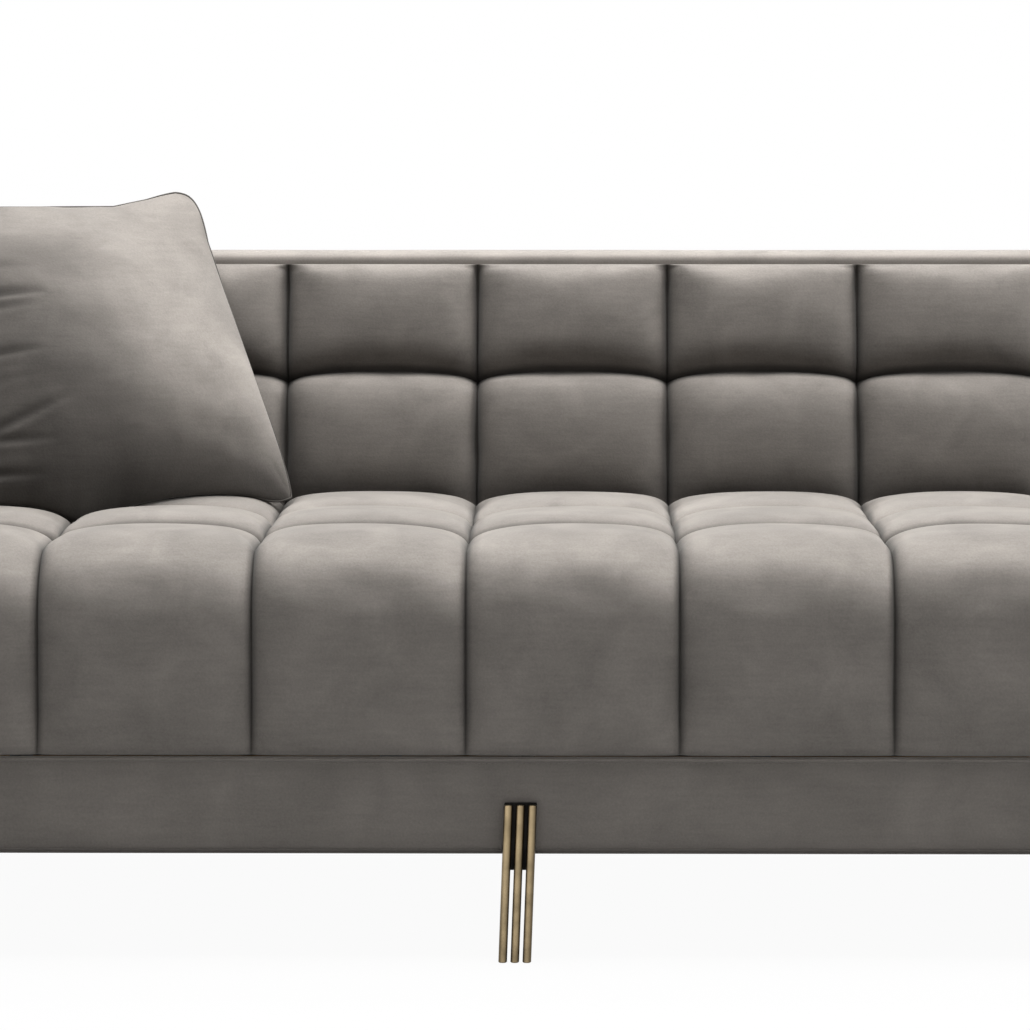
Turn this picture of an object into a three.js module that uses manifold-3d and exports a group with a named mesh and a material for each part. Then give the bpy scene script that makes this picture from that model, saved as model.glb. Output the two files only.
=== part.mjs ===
// Recamier: a long seat with one arm and a low back, biscuit tufted, on a covered plinth
// and six legs of three slim brass rods each, with a loose scatter cushion in its corner.
//
// Millimetres. The pieces are placed in the workshop frame: x from the outer face of the arm,
// y (depth) from the front face of the plinth towards the rear, z up from the floor.
// The last group moves them so that the origin is on the floor under the middle of the box.

import * as THREE from "three";
import { mergeVertices } from "three/addons/utils/BufferGeometryUtils.js";
import Module from "manifold-3d";

const wasm = await Module();
wasm.setup();

// Overall sizes that the others follow
const legClear = 111;
const plinthHeight = 101;
const seatPadHeight = 231;
const columnCount = 7;
const columnPitch = 220;
const armThickness = 112;
const seatOverhang = 14;
const frontRowDepth = 205;
const middleRowDepth = 190;
const rearRowDepth = 195;
const backRecline = THREE.MathUtils.degToRad(15.8);
const rearLean = 30;

// Clearances between pieces that touch, and how far a cutting solid runs past what it cuts
const fitGap = 0.3;
const cutOverrun = 20;
const weldDistance = 0.0001;

// Covered panels and piping
const coverThickness = 5;
const armReveal = 2;
const pipingRadius = 2;
const pipingProud = 1;
const topPipingDrop = 4;
const bottomPipingRise = 3.2;
const pipingSides = 8;

// Hardwood base
const railThickness = 25;
const railTopDrop = 5.3;
const crossRailDrop = 16;

// Seat suspension
const springCount = 4;
const springWire = 4;
const springReach = 22;
const springWaves = 8;
const springStepsPerWave = 5;
const springSides = 6;
const springEndInset = 12;
const deckThickness = 1.5;
const deckInset = 3;
const dustCoverThickness = 1;
const dustCoverClear = 3;

// Legs
const rodDiameter = 9;
const rodSpacing = 12.4;
const rodTop = 163;
const rodsPerLeg = 3;
const rodSides = 20;
const middleLegLean = THREE.MathUtils.degToRad(2.1);
const bracketWidth = 38;
const bracketThickness = 3;
const bracketDrop = 13;
const bracketTopShort = 1.5;
const flangeDepth = 62;
const endLegInset = 76;

// Tufted seat
const seatEdgeRadius = 90;
const seatRearRadius = 25;
const seatArmRadius = 12;
const seatColumnDraw = 24;
const seatRowDraw = 12;
const seatTuck = 16;
const seatTuckHeight = 110;
const coreCover = 9;
const coreFrontInset = 45;
const coreEndInset = 48;
const coreRearInset = 28;

// Tufted back
const backPadDepth = 56;
const backColumnDraw = 34;
const backRowDraw = 13;
const backTopDraw = 9;
const backUpperRow = 132;
const backLowerRow = 148;
const backTopRadius = 15;
const backEndRadius = 30;
const backPadTopDrop = 25;
const backPadFootDrop = 23.42;
const backPadOverSeat = 8.42;
const backBandDepth = 88;
const backBoardThickness = 3;
const backBoardDrop = 4;
const backEndBulge = 10;

// Shells and frame of the back and the arm
const shellThickness = 4;
const shellLip = 34;
const shellRearRadius = 12;
const shellFrontRadius = 5;
const shellArcSteps = 4;
const topRailHeight = 60;
const topRailDepth = 58;
const uprightThickness = 30;
const seatToBackGap = 2;
const uprightInset = 8;
const armPadDepth = 46;
const armColumnDraw = 28;
const armRowDraw = 11;
const armPadTopDrop = 14;
const armPadRadius = 15;
const armCapHeight = 10;
const armRailHeight = 24;
const armPostDepth = 30;
const armBoardThickness = 3;
const armRearShort = 12;

// Scatter cushion
const cushionHalf = 203;
const cushionHalfThickness = 66;
const cushionDrawInShare = 0.085;
const cushionCells = 16;
const cushionTurn = THREE.MathUtils.degToRad(30);
const cushionLean = THREE.MathUtils.degToRad(31);
const cushionArmClear = 20.9;
const cushionBackClear = 5.6;
const cushionSink = 4;

// Heights and depths worked out from the sizes above
const plinthTop = legClear + plinthHeight;
const railTop = plinthTop - railTopDrop;
const springLevel = railTop + fitGap + springWire / 2;
const deckBottom = springLevel + springWire / 2 + fitGap;
const seatBottom = deckBottom + deckThickness + fitGap;
const seatTop = seatBottom + seatPadHeight;
const seatRear = frontRowDepth + middleRowDepth + rearRowDepth;
const overallWidth = armThickness + columnCount * columnPitch;
const plinthLeft = armReveal;
const plinthRight = overallWidth - seatOverhang;
const backPadLength = backUpperRow + backLowerRow;
const backPadTop = seatTop - backPadFootDrop + backPadLength * Math.cos(backRecline);
const backPadFoot = seatRear + backPadDepth * Math.cos(backRecline) - backPadOverSeat;
const backPadRear = backPadFoot + backPadLength * Math.sin(backRecline);
const backTop = backPadTop + backPadTopDrop;
const backFront = backPadRear + fitGap;
const backRear = backFront + backBandDepth;
const plinthDepth = backRear - rearLean;
const middleDepth = (backRear - seatOverhang) / 2;

// Depth of the reclined plane behind the back pad at a height
function backPlaneAt(height) {
  return backPadRear + (height - backPadTop) * Math.tan(backRecline);
}

// Height at which the reclined plane behind the back pad has a depth
function heightOfBackPlane(depth) {
  return backPadTop + (depth - backPadRear) / Math.tan(backRecline);
}

// Depth of the rear face of the back at a height
function rearFaceAt(height) {
  return plinthDepth + rearLean * (height - plinthTop) / (backTop - plinthTop);
}

// Materials
const paint = {
  velvet: { color: 0x8d8781, roughness: 0.85, metalness: 0 },
  brass: { color: 0x8f7d5c, roughness: 0.35, metalness: 1 },
  blackSteel: { color: 0x23211f, roughness: 0.5, metalness: 0.6 },
  hardwood: { color: 0xb08a5c, roughness: 0.7, metalness: 0 },
  springSteel: { color: 0x8c8f92, roughness: 0.4, metalness: 1 },
  foam: { color: 0xe6dfc6, roughness: 0.95, metalness: 0 },
  hessian: { color: 0x2f2d2b, roughness: 0.95, metalness: 0 },
};

const workshop = new THREE.Group();

// Adds a named piece to the object
function addPiece(name, geometry, finish, place = [0, 0, 0], turn = null) {
  const mesh = new THREE.Mesh(geometry, new THREE.MeshStandardMaterial(paint[finish]));
  mesh.name = name;
  mesh.position.set(...place);
  if (turn) mesh.quaternion.copy(turn);
  workshop.add(mesh);
  return mesh;
}

// A closed mesh as a solid that can be cut and joined
function toSolid(geometry) {
  const bare = geometry.clone();
  bare.deleteAttribute("normal");
  bare.deleteAttribute("uv");
  const merged = mergeVertices(bare, weldDistance);
  return new wasm.Manifold(new wasm.Mesh({
    numProp: 3,
    vertProperties: new Float32Array(merged.attributes.position.array),
    triVerts: new Uint32Array(merged.index.array),
  }));
}

// A cut or joined solid as a mesh
function toGeometry(solid) {
  const mesh = solid.getMesh();
  const geometry = new THREE.BufferGeometry();
  geometry.setAttribute("position", new THREE.BufferAttribute(mesh.vertProperties, 3));
  geometry.setIndex(new THREE.BufferAttribute(mesh.triVerts, 1));
  geometry.computeVertexNormals();
  return geometry;
}

// A box between two corners
function boxBetween(low, high) {
  const size = high.map((value, axis) => value - low[axis]);
  const box = new THREE.BoxGeometry(...size);
  box.translate(...low.map((value, axis) => value + size[axis] / 2));
  return box;
}

// An outline of depth and height points, extruded along the length of the seat
function sideProfile(points, from, to) {
  const outline = new THREE.Shape(points.map(([depth, height]) => new THREE.Vector2(depth, height)));
  const solid = new THREE.ExtrudeGeometry(outline, { depth: to - from, bevelEnabled: false });
  const turn = new THREE.Matrix4().makeBasis(
    new THREE.Vector3(0, 1, 0), new THREE.Vector3(0, 0, 1), new THREE.Vector3(1, 0, 0));
  solid.applyMatrix4(turn);
  solid.translate(from, 0, 0);
  return solid;
}

// Points of a quarter arc about a centre, from one angle to another
function arcPoints(centre, radius, fromAngle, toAngle) {
  const points = [];
  for (let step = 0; step <= shellArcSteps; step += 1) {
    const angle = fromAngle + (toAngle - fromAngle) * step / shellArcSteps;
    points.push([centre[0] + radius * Math.cos(angle), centre[1] + radius * Math.sin(angle)]);
  }
  return points;
}

// A closed block of grid cells, whose grid points are put in place by a function
function gridBlock(xs, ys, zs, place) {
  const positions = [];
  const known = new Map();
  const faces = [];
  const corner = (i, j, k) => {
    const key = `${i},${j},${k}`;
    if (!known.has(key)) {
      known.set(key, positions.length / 3);
      const point = place(new THREE.Vector3(xs[i], ys[j], zs[k]));
      positions.push(point.x, point.y, point.z);
    }
    return known.get(key);
  };
  const quad = (a, b, c, d) => faces.push(a, b, c, a, c, d);
  const lastX = xs.length - 1;
  const lastY = ys.length - 1;
  const lastZ = zs.length - 1;
  for (let i = 0; i < lastX; i += 1) {
    for (let j = 0; j < lastY; j += 1) {
      quad(corner(i, j, lastZ), corner(i + 1, j, lastZ), corner(i + 1, j + 1, lastZ), corner(i, j + 1, lastZ));
      quad(corner(i, j, 0), corner(i, j + 1, 0), corner(i + 1, j + 1, 0), corner(i + 1, j, 0));
    }
    for (let k = 0; k < lastZ; k += 1) {
      quad(corner(i, 0, k), corner(i + 1, 0, k), corner(i + 1, 0, k + 1), corner(i, 0, k + 1));
      quad(corner(i, lastY, k), corner(i, lastY, k + 1), corner(i + 1, lastY, k + 1), corner(i + 1, lastY, k));
    }
  }
  for (let j = 0; j < lastY; j += 1) {
    for (let k = 0; k < lastZ; k += 1) {
      quad(corner(0, j, k), corner(0, j, k + 1), corner(0, j + 1, k + 1), corner(0, j + 1, k));
      quad(corner(lastX, j, k), corner(lastX, j + 1, k), corner(lastX, j + 1, k + 1), corner(lastX, j, k + 1));
    }
  }
  const geometry = new THREE.BufferGeometry();
  geometry.setAttribute("position", new THREE.Float32BufferAttribute(positions, 3));
  geometry.setIndex(faces);
  return geometry;
}

// How tufting is drawn: where the grid lines lie across a block, and how steeply a seam is pulled in
const blockLineShares = [0, 0.07, 0.25, 0.5, 0.75, 0.93];
const middleShare = 0.5;
const edgeLineShares = [1, 0.5, 0];
const sideLineShares = [0, 0.35];
const flatCrownShare = 0.15;
const broadPullShare = 0.65;
const broadPull = 2.4;
const narrowPull = 9;
const seamFadeShare = 0.3;
const seamFadeHeightShare = 0.5;

// Grid lines across a row of blocks. A free end is rounded, so its lines follow the radius.
function blockLines(seams, lowRadius, highRadius, freeLow, freeHigh) {
  const lines = [];
  const blocks = seams.length - 1;
  for (let block = 0; block < blocks; block += 1) {
    const from = seams[block];
    const width = seams[block + 1] - from;
    for (const share of blockLineShares) {
      const atLow = freeLow && block === 0 && share < middleShare;
      const atHigh = freeHigh && block === blocks - 1 && share > middleShare;
      if (!atLow && !atHigh) lines.push(from + share * width);
    }
  }
  const low = seams[0];
  const high = seams[blocks];
  if (freeLow) for (const share of edgeLineShares) lines.push(low + share * lowRadius);
  if (freeHigh) for (const share of edgeLineShares) lines.push(high - share * highRadius);
  if (!freeHigh) lines.push(high);
  return [...new Set(lines)].sort((a, b) => a - b);
}

// How far a place is drawn in by the nearest seam, each seam having its own full draw
function seamDraw(at, seams, draws) {
  const last = seams.length - 2;
  let block = 0;
  while (block < last && at > seams[block + 1]) block += 1;
  const middle = (seams[block] + seams[block + 1]) / 2;
  const half = (seams[block + 1] - seams[block]) / 2;
  const away = Math.min(1, Math.abs(at - middle) / half);
  const near = Math.max(0, (away - flatCrownShare) / (1 - flatCrownShare));
  const pull = broadPullShare * near ** broadPull + (1 - broadPullShare) * near ** narrowPull;
  return pull * draws[at < middle ? block : block + 1];
}

// A tufted pad lying flat, its columns along x and its rows along y, its plain side on the plane z = 0
function tuftedPad(pad) {
  const low = { x: pad.columns[0], y: pad.rows[0] };
  const high = { x: pad.columns.at(-1), y: pad.rows.at(-1) };
  const straight = pad.height - pad.topRadius;
  const { radius, free } = pad;
  const xs = blockLines(pad.columns, radius.left, radius.right, free.left, free.right);
  const ys = blockLines(pad.rows, radius.front, radius.rear, free.front, free.rear);
  const zs = sideLineShares.map((share) => share * straight);
  for (const share of edgeLineShares) zs.push(pad.height - share * pad.topRadius);
  const inLow = new THREE.Vector3(low.x + radius.left, low.y + radius.front, 0);
  const inHigh = new THREE.Vector3(high.x - radius.right, high.y - radius.rear, straight);
  const warp = pad.warp ?? ((point) => point);

  return gridBlock(xs, ys, zs, (point) => {
    const near = point.clone().clamp(inLow, inHigh);
    const away = point.clone().sub(near);
    const sideX = away.x < 0 ? "left" : "right";
    const sideY = away.y < 0 ? "front" : "rear";
    const radii = new THREE.Vector3(radius[sideX], radius[sideY], pad.topRadius);
    away.divide(radii);
    if (away.length() === 0) return warp(point);
    away.normalize();
    const surface = near.add(away.clone().multiply(radii));
    const outward = away.divide(radii).normalize();
    const height = Math.min(1, point.z / (straight * seamFadeHeightShare));
    const fade = THREE.MathUtils.lerp(seamFadeShare, 1, height);
    const endGain = THREE.MathUtils.lerp(1, pad.endGain ?? 1, Math.abs(outward.x));
    let draw = seamDraw(surface.x, pad.columns, pad.columnDraws);
    draw += seamDraw(surface.y, pad.rows, pad.rowDraws) * endGain;
    draw *= fade;
    if (pad.tuck) {
      const lower = Math.max(0, 1 - point.z / pad.tuckHeight);
      draw += pad.tuck * lower ** 2 * Math.hypot(outward.x, outward.y);
    }
    const move = outward.multiplyScalar(-draw);
    if (!free[sideX]) move.x = 0;
    if (!free[sideY]) move.y = 0;
    return warp(surface.add(move));
  });
}

// A pad with the flat faces that it has in one plane joined up
function padSolid(pad) {
  return toSolid(tuftedPad(pad)).simplify();
}

// Evenly spaced seams from a start
function evenSeams(from, pitch, count) {
  return Array.from({ length: count + 1 }, (unused, seam) => from + seam * pitch);
}

// Legs

// One rod, leaning along x, cut level at both ends
function leaningRod(lean) {
  const rod = new THREE.CylinderGeometry(rodDiameter / 2, rodDiameter / 2, rodTop, rodSides);
  rod.rotateX(Math.PI / 2);
  rod.translate(0, 0, rodTop / 2);
  const shear = new THREE.Matrix4().makeShear(0, 0, 0, 0, Math.tan(lean), 0);
  rod.applyMatrix4(shear);
  return rod;
}

// Steel bracket: a plate up the face of the plinth and a flange under it
function legBracket(side) {
  const gapBehind = pipingProud + fitGap;
  const flangeTop = legClear - fitGap;
  const flangeBottom = flangeTop - bracketThickness;
  const front = -(gapBehind + bracketThickness);
  const outline = [
    [front, legClear - bracketDrop - bracketThickness],
    [-gapBehind, legClear - bracketDrop - bracketThickness],
    [-gapBehind, flangeBottom],
    [flangeDepth, flangeBottom],
    [flangeDepth, flangeTop],
    [-gapBehind, flangeTop],
    [-gapBehind, rodTop + bracketTopShort],
    [front, rodTop + bracketTopShort],
  ];
  const placed = side === "front"
    ? outline
    : outline.map(([depth, height]) => [plinthDepth - depth, height]).reverse();
  return sideProfile(placed, -bracketWidth / 2, bracketWidth / 2);
}

function addLegs() {
  const left = endLegInset;
  const right = overallWidth - endLegInset;
  const stations = [
    { place: "left", at: left, lean: middleLegLean },
    { place: "middle", at: (left + right) / 2, lean: middleLegLean },
    { place: "right", at: right, lean: -middleLegLean },
  ];
  const rodInFront = pipingProud + fitGap + bracketThickness + fitGap + rodDiameter / 2;
  for (const side of ["front", "rear"]) {
    const depth = side === "front" ? -rodInFront : plinthDepth + rodInFront;
    for (const station of stations) {
      const footShift = Math.tan(station.lean) * rodTop / 2;
      const leg = `${side}_${station.place}_leg`;
      for (let rod = 0; rod < rodsPerLeg; rod += 1) {
        const along = (rod - (rodsPerLeg - 1) / 2) * rodSpacing;
        const place = [station.at + along - footShift, depth, 0];
        addPiece(`${leg}_rod_${rod + 1}`, leaningRod(station.lean), "brass", place);
      }
      addPiece(`${leg}_bracket`, legBracket(side), "blackSteel", [station.at, 0, 0]);
    }
  }
}

// Base frame and plinth

// A closed run of piping round the plinth, at one height
function pipingRun(height, radius) {
  const inset = pipingRadius - pipingProud;
  const low = [plinthLeft + inset, inset];
  const high = [plinthRight - inset, plinthDepth - inset];
  const corners = [[low[0], low[1]], [high[0], low[1]], [high[0], high[1]], [low[0], high[1]]];
  let run = null;
  corners.forEach(([x, y], index) => {
    const next = corners[(index + 1) % corners.length];
    const length = Math.hypot(next[0] - x, next[1] - y);
    const side = new THREE.CylinderGeometry(radius, radius, length, pipingSides);
    if (next[0] !== x) side.rotateZ(Math.PI / 2);
    side.translate((x + next[0]) / 2, (y + next[1]) / 2, height);
    const ball = new THREE.SphereGeometry(radius, pipingSides, pipingSides / 2);
    ball.translate(x, y, height);
    const piece = toSolid(side).add(toSolid(ball));
    run = run ? run.add(piece) : piece;
  });
  return run;
}

function addPlinth() {
  const railBottom = legClear + fitGap;
  const inner = coverThickness + fitGap;
  const railLeft = plinthLeft + inner;
  const railRight = plinthRight - inner;
  const railFront = inner;
  const railRear = plinthDepth - inner;
  const sideFront = railFront + railThickness + fitGap;
  const sideRear = railRear - railThickness - fitGap;
  const rails = {
    base_front_rail: [[railLeft, railFront, railBottom], [railRight, railFront + railThickness, railTop]],
    base_rear_rail: [[railLeft, railRear - railThickness, railBottom], [railRight, railRear, railTop]],
    base_left_rail: [[railLeft, sideFront, railBottom], [railLeft + railThickness, sideRear, railTop]],
    base_right_rail: [[railRight - railThickness, sideFront, railBottom], [railRight, sideRear, railTop]],
  };
  const middle = overallWidth / 2 - railThickness / 2;
  rails.base_cross_rail = [
    [middle, sideFront, railBottom],
    [middle + railThickness, sideRear, railTop - crossRailDrop],
  ];
  for (const [name, [low, high]] of Object.entries(rails)) {
    addPiece(name, boxBetween(low, high), "hardwood");
  }

  const levels = { top: plinthTop - topPipingDrop, bottom: legClear + bottomPipingRise };
  const grooves = Object.values(levels).map((height) => pipingRun(height, pipingRadius + fitGap));
  const covers = {
    plinth_front_cover: [[plinthLeft, 0, legClear], [plinthRight, coverThickness, plinthTop]],
    plinth_rear_cover: [
      [plinthLeft, plinthDepth - coverThickness, legClear], [plinthRight, plinthDepth, plinthTop]],
    plinth_left_cover: [
      [plinthLeft, inner, legClear], [plinthLeft + coverThickness, plinthDepth - inner, plinthTop]],
    plinth_right_cover: [
      [plinthRight - coverThickness, inner, legClear], [plinthRight, plinthDepth - inner, plinthTop]],
  };
  for (const [name, [low, high]] of Object.entries(covers)) {
    let cover = toSolid(boxBetween(low, high));
    for (const groove of grooves) cover = cover.subtract(groove);
    addPiece(name, toGeometry(cover), "velvet");
  }
  for (const [level, height] of Object.entries(levels)) {
    addPiece(`plinth_${level}_piping`, toGeometry(pipingRun(height, pipingRadius)), "velvet");
  }

  const dustInset = flangeDepth + dustCoverClear;
  addPiece("dust_cover", boxBetween(
    [railLeft, dustInset, legClear - dustCoverThickness],
    [railRight, plinthDepth - dustInset, legClear]), "hessian");
}

// Seat

// The wavy line of a sinuous spring from the front rail to the rear one
class SpringLine extends THREE.Curve {
  getPoint(share, target = new THREE.Vector3()) {
    const from = coverThickness + springEndInset;
    const to = plinthDepth - coverThickness - springEndInset;
    const swing = springReach * Math.sin(share * springWaves * 2 * Math.PI);
    return target.set(swing, from + (to - from) * share, 0);
  }
}

function addSuspension() {
  const section = new THREE.Shape();
  section.absarc(0, 0, springWire / 2, 0, 2 * Math.PI);
  const spring = new THREE.ExtrudeGeometry(section, {
    curveSegments: springSides / 2,
    extrudePath: new SpringLine(),
    steps: springWaves * springStepsPerWave,
    bevelEnabled: false,
  });
  const room = plinthRight - armThickness;
  for (let index = 0; index < springCount; index += 1) {
    const at = armThickness + room * (index + 0.5) / springCount;
    addPiece(`seat_spring_${index + 1}`, spring.clone(), "springSteel", [at, 0, springLevel]);
  }
  const left = armThickness - armPadDepth + fitGap;
  const inner = coverThickness + fitGap + deckInset;
  addPiece("seat_deck_cloth", boxBetween(
    [left, inner, deckBottom],
    [plinthRight - inner, seatRear - fitGap, deckBottom + deckThickness]), "hessian");
}

function addSeat() {
  const columns = evenSeams(armThickness + fitGap, columnPitch, columnCount);
  columns[columnCount] = overallWidth;
  const rows = [-seatOverhang, frontRowDepth, frontRowDepth + middleRowDepth, seatRear];
  const columnDraws = columns.map(() => seatColumnDraw);
  columnDraws[columnCount] = 0;
  const cover = padSolid({
    columns,
    rows,
    height: seatPadHeight,
    topRadius: seatEdgeRadius,
    radius: { left: seatArmRadius, right: seatEdgeRadius, front: seatEdgeRadius, rear: seatRearRadius },
    free: { left: false, right: true, front: true, rear: false },
    columnDraws,
    rowDraws: [0, seatRowDraw, seatRowDraw, seatRowDraw],
    endGain: seatColumnDraw / seatRowDraw,
    tuck: seatTuck,
    tuckHeight: seatTuckHeight,
  }).translate(0, 0, seatBottom);
  const coreTop = seatTop - seatColumnDraw - seatRowDraw - coreCover;
  const coreLow = [armThickness + coreRearInset, coreFrontInset, seatBottom];
  const coreHigh = [overallWidth - coreEndInset, seatRear - coreRearInset, coreTop];
  const room = boxBetween(
    [coreLow[0] - fitGap, coreLow[1] - fitGap, seatBottom - cutOverrun],
    coreHigh.map((value) => value + fitGap));
  addPiece("seat_tufted_cover", toGeometry(cover.subtract(toSolid(room))), "velvet");
  addPiece("seat_foam_core", boxBetween(coreLow, coreHigh), "foam");
}

// Back

function addBackFrame() {
  const inside = shellThickness + fitGap;
  const railTopLevel = backTop - inside;
  const railBottomLevel = railTopLevel - topRailHeight;
  const railFrontDepth = backFront + inside;
  const frameLeft = coverThickness + uprightInset;
  const frameRight = plinthRight - coverThickness - fitGap;
  addPiece("back_top_rail", boxBetween(
    [frameLeft, railFrontDepth, railBottomLevel],
    [frameRight, railFrontDepth + topRailDepth, railTopLevel]), "hardwood");

  const boardBehind = (backBoardThickness + fitGap) / Math.cos(backRecline) + fitGap;
  const foot = railTop + fitGap;
  const head = railBottomLevel - fitGap;
  const behindSeat = seatRear + seatToBackGap;
  const bend = heightOfBackPlane(behindSeat);
  const outline = [
    [behindSeat + boardBehind, foot],
    [plinthDepth - coverThickness - fitGap, foot],
    [plinthDepth - coverThickness - fitGap, plinthTop],
    [rearFaceAt(head) - inside - fitGap, head],
    [backPlaneAt(head) + boardBehind, head],
    [backPlaneAt(bend) + boardBehind, bend],
  ];
  const middle = overallWidth / 2 - uprightThickness / 2;
  const stations = {
    back_left_upright: frameLeft,
    back_middle_upright: middle,
    back_right_upright: frameRight - uprightThickness,
  };
  for (const [name, from] of Object.entries(stations)) {
    addPiece(name, sideProfile(outline, from, from + uprightThickness), "hardwood");
  }

  const boardTop = backTop - shellLip - backBoardDrop;
  const boardAt = fitGap / Math.cos(backRecline);
  const boardDeep = backBoardThickness / Math.cos(backRecline);
  const board = [
    [backPlaneAt(bend) + boardAt, bend],
    [backPlaneAt(bend) + boardAt + boardDeep, bend],
    [backPlaneAt(boardTop) + boardAt + boardDeep, boardTop],
    [backPlaneAt(boardTop) + boardAt, boardTop],
  ];
  addPiece("back_webbing_panel", sideProfile(board, frameLeft, frameRight), "hessian");
}

// The outer shell of the back: up the rear face, over the top and down behind the pad
function addBackShell() {
  const rearRadius = shellRearRadius;
  const frontRadius = shellFrontRadius;
  const bottom = plinthTop + fitGap;
  const lipBottom = backTop - shellLip;
  const inTop = backTop - shellThickness;
  const outline = [
    [rearFaceAt(bottom), bottom],
    ...arcPoints([backRear - rearRadius, backTop - rearRadius], rearRadius, 0, Math.PI / 2),
    ...arcPoints([backFront + frontRadius, backTop - frontRadius], frontRadius, Math.PI / 2, Math.PI),
    [backFront, lipBottom],
    [backFront + shellThickness, lipBottom],
    [backFront + shellThickness, inTop],
    [rearFaceAt(inTop) - shellThickness, inTop],
    [rearFaceAt(bottom) - shellThickness, bottom],
  ];
  const left = coverThickness + fitGap;
  const right = plinthRight - coverThickness - fitGap;
  addPiece("back_shell", sideProfile(outline, left, right), "velvet");

  const step = backPadTop - backPadLength * Math.cos(backRecline) - fitGap;
  const end = [
    [seatRear + seatToBackGap, bottom],
    [rearFaceAt(bottom), bottom],
    ...arcPoints([backRear - rearRadius, backTop - rearRadius], rearRadius, 0, Math.PI / 2),
    ...arcPoints([backFront + frontRadius, backTop - frontRadius], frontRadius, Math.PI / 2, Math.PI),
    [backPlaneAt(backPadTop) + fitGap, backPadTop],
    [backPlaneAt(step) + fitGap, step],
    [seatRear + seatToBackGap, step],
  ];
  addPiece("back_end_panel", sideProfile(end, plinthRight - coverThickness, plinthRight), "velvet");
}

function addBackPad() {
  const columns = evenSeams(armThickness + fitGap, columnPitch, columnCount);
  columns[columnCount] = plinthRight + backEndBulge;
  const columnDraws = columns.map(() => backColumnDraw);
  columnDraws[columnCount] = 0;
  const pad = padSolid({
    columns,
    rows: [-backPadLength, -backUpperRow, 0],
    height: backPadDepth,
    topRadius: backTopRadius,
    radius: { left: backTopRadius, right: backEndRadius, front: backTopRadius, rear: backTopRadius },
    free: { left: false, right: true, front: false, rear: false },
    columnDraws,
    rowDraws: [backRowDraw, backRowDraw, backTopDraw],
    endGain: backColumnDraw / backRowDraw,
  });
  const turn = new THREE.Quaternion().setFromEuler(new THREE.Euler(Math.PI / 2 - backRecline, 0, 0));
  addPiece("back_tufted_pad", toGeometry(pad), "velvet", [0, backPadRear, backPadTop], turn);
}

// Arm

function addArm() {
  const inner = coverThickness + fitGap;
  const frameInside = armThickness - armPadDepth - fitGap;
  const frameRight = frameInside - armBoardThickness - fitGap;
  const capBottom = backTop - armCapHeight;
  const bottom = plinthTop + fitGap;
  const postBottom = railTop + fitGap;
  const railLevel = capBottom - fitGap;
  const rearRadius = shellRearRadius;

  const side = [
    [0, bottom],
    [rearFaceAt(bottom), bottom],
    ...arcPoints([backRear - rearRadius, backTop - rearRadius], rearRadius, 0, Math.PI / 2),
    [shellFrontRadius, backTop],
    [0, backTop - shellFrontRadius],
  ];
  addPiece("arm_outer_panel", sideProfile(side, 0, coverThickness), "velvet");
  addPiece("arm_front_panel", boxBetween(
    [inner, 0, bottom], [armThickness - armReveal, coverThickness, backTop]), "velvet");
  addPiece("arm_top_cap", boxBetween(
    [inner, inner, capBottom], [armThickness - armPadDepth, backFront - fitGap, backTop]), "velvet");
  addPiece("arm_front_post", boxBetween(
    [plinthLeft + inner, inner, postBottom],
    [frameRight, inner + armPostDepth, railLevel - armRailHeight - fitGap]), "hardwood");
  addPiece("arm_top_rail", boxBetween(
    [plinthLeft + inner, inner, railLevel - armRailHeight],
    [frameRight, backPlaneAt(railLevel - armRailHeight) - armRearShort, railLevel]), "hardwood");
  addPiece("arm_webbing_panel", boxBetween(
    [frameInside - armBoardThickness, inner, seatBottom],
    [frameInside, backPlaneAt(seatBottom) - armRearShort, railLevel]), "hessian");

  const padTop = backTop - armPadTopDrop;
  const padHeight = padTop - seatBottom;
  const upper = backUpperRow;
  const lower = upper + backLowerRow;
  const fan = (point) => {
    const share = (point.x - inner) / (seatRear - inner);
    const reach = backPlaneAt(padTop + point.y) - fitGap - seatRear;
    return new THREE.Vector3(point.x + share * reach, point.y, point.z);
  };
  const pad = padSolid({
    columns: [inner, frontRowDepth, frontRowDepth + middleRowDepth, seatRear],
    rows: [-padHeight, -lower, -upper, 0],
    height: armPadDepth,
    topRadius: armPadRadius,
    radius: { left: armPadRadius, right: armPadRadius, front: armPadRadius, rear: armPadRadius },
    free: { left: false, right: false, front: false, rear: false },
    columnDraws: [0, armColumnDraw, armColumnDraw, 0],
    rowDraws: [0, armRowDraw, armRowDraw, armRowDraw],
    warp: fan,
  });
  const basis = new THREE.Matrix4().makeBasis(
    new THREE.Vector3(0, 1, 0), new THREE.Vector3(0, 0, 1), new THREE.Vector3(1, 0, 0));
  const turn = new THREE.Quaternion().setFromRotationMatrix(basis);
  addPiece("arm_tufted_pad", toGeometry(pad), "velvet", [armThickness - armPadDepth, 0, padTop], turn);
}

// Scatter cushion

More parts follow.
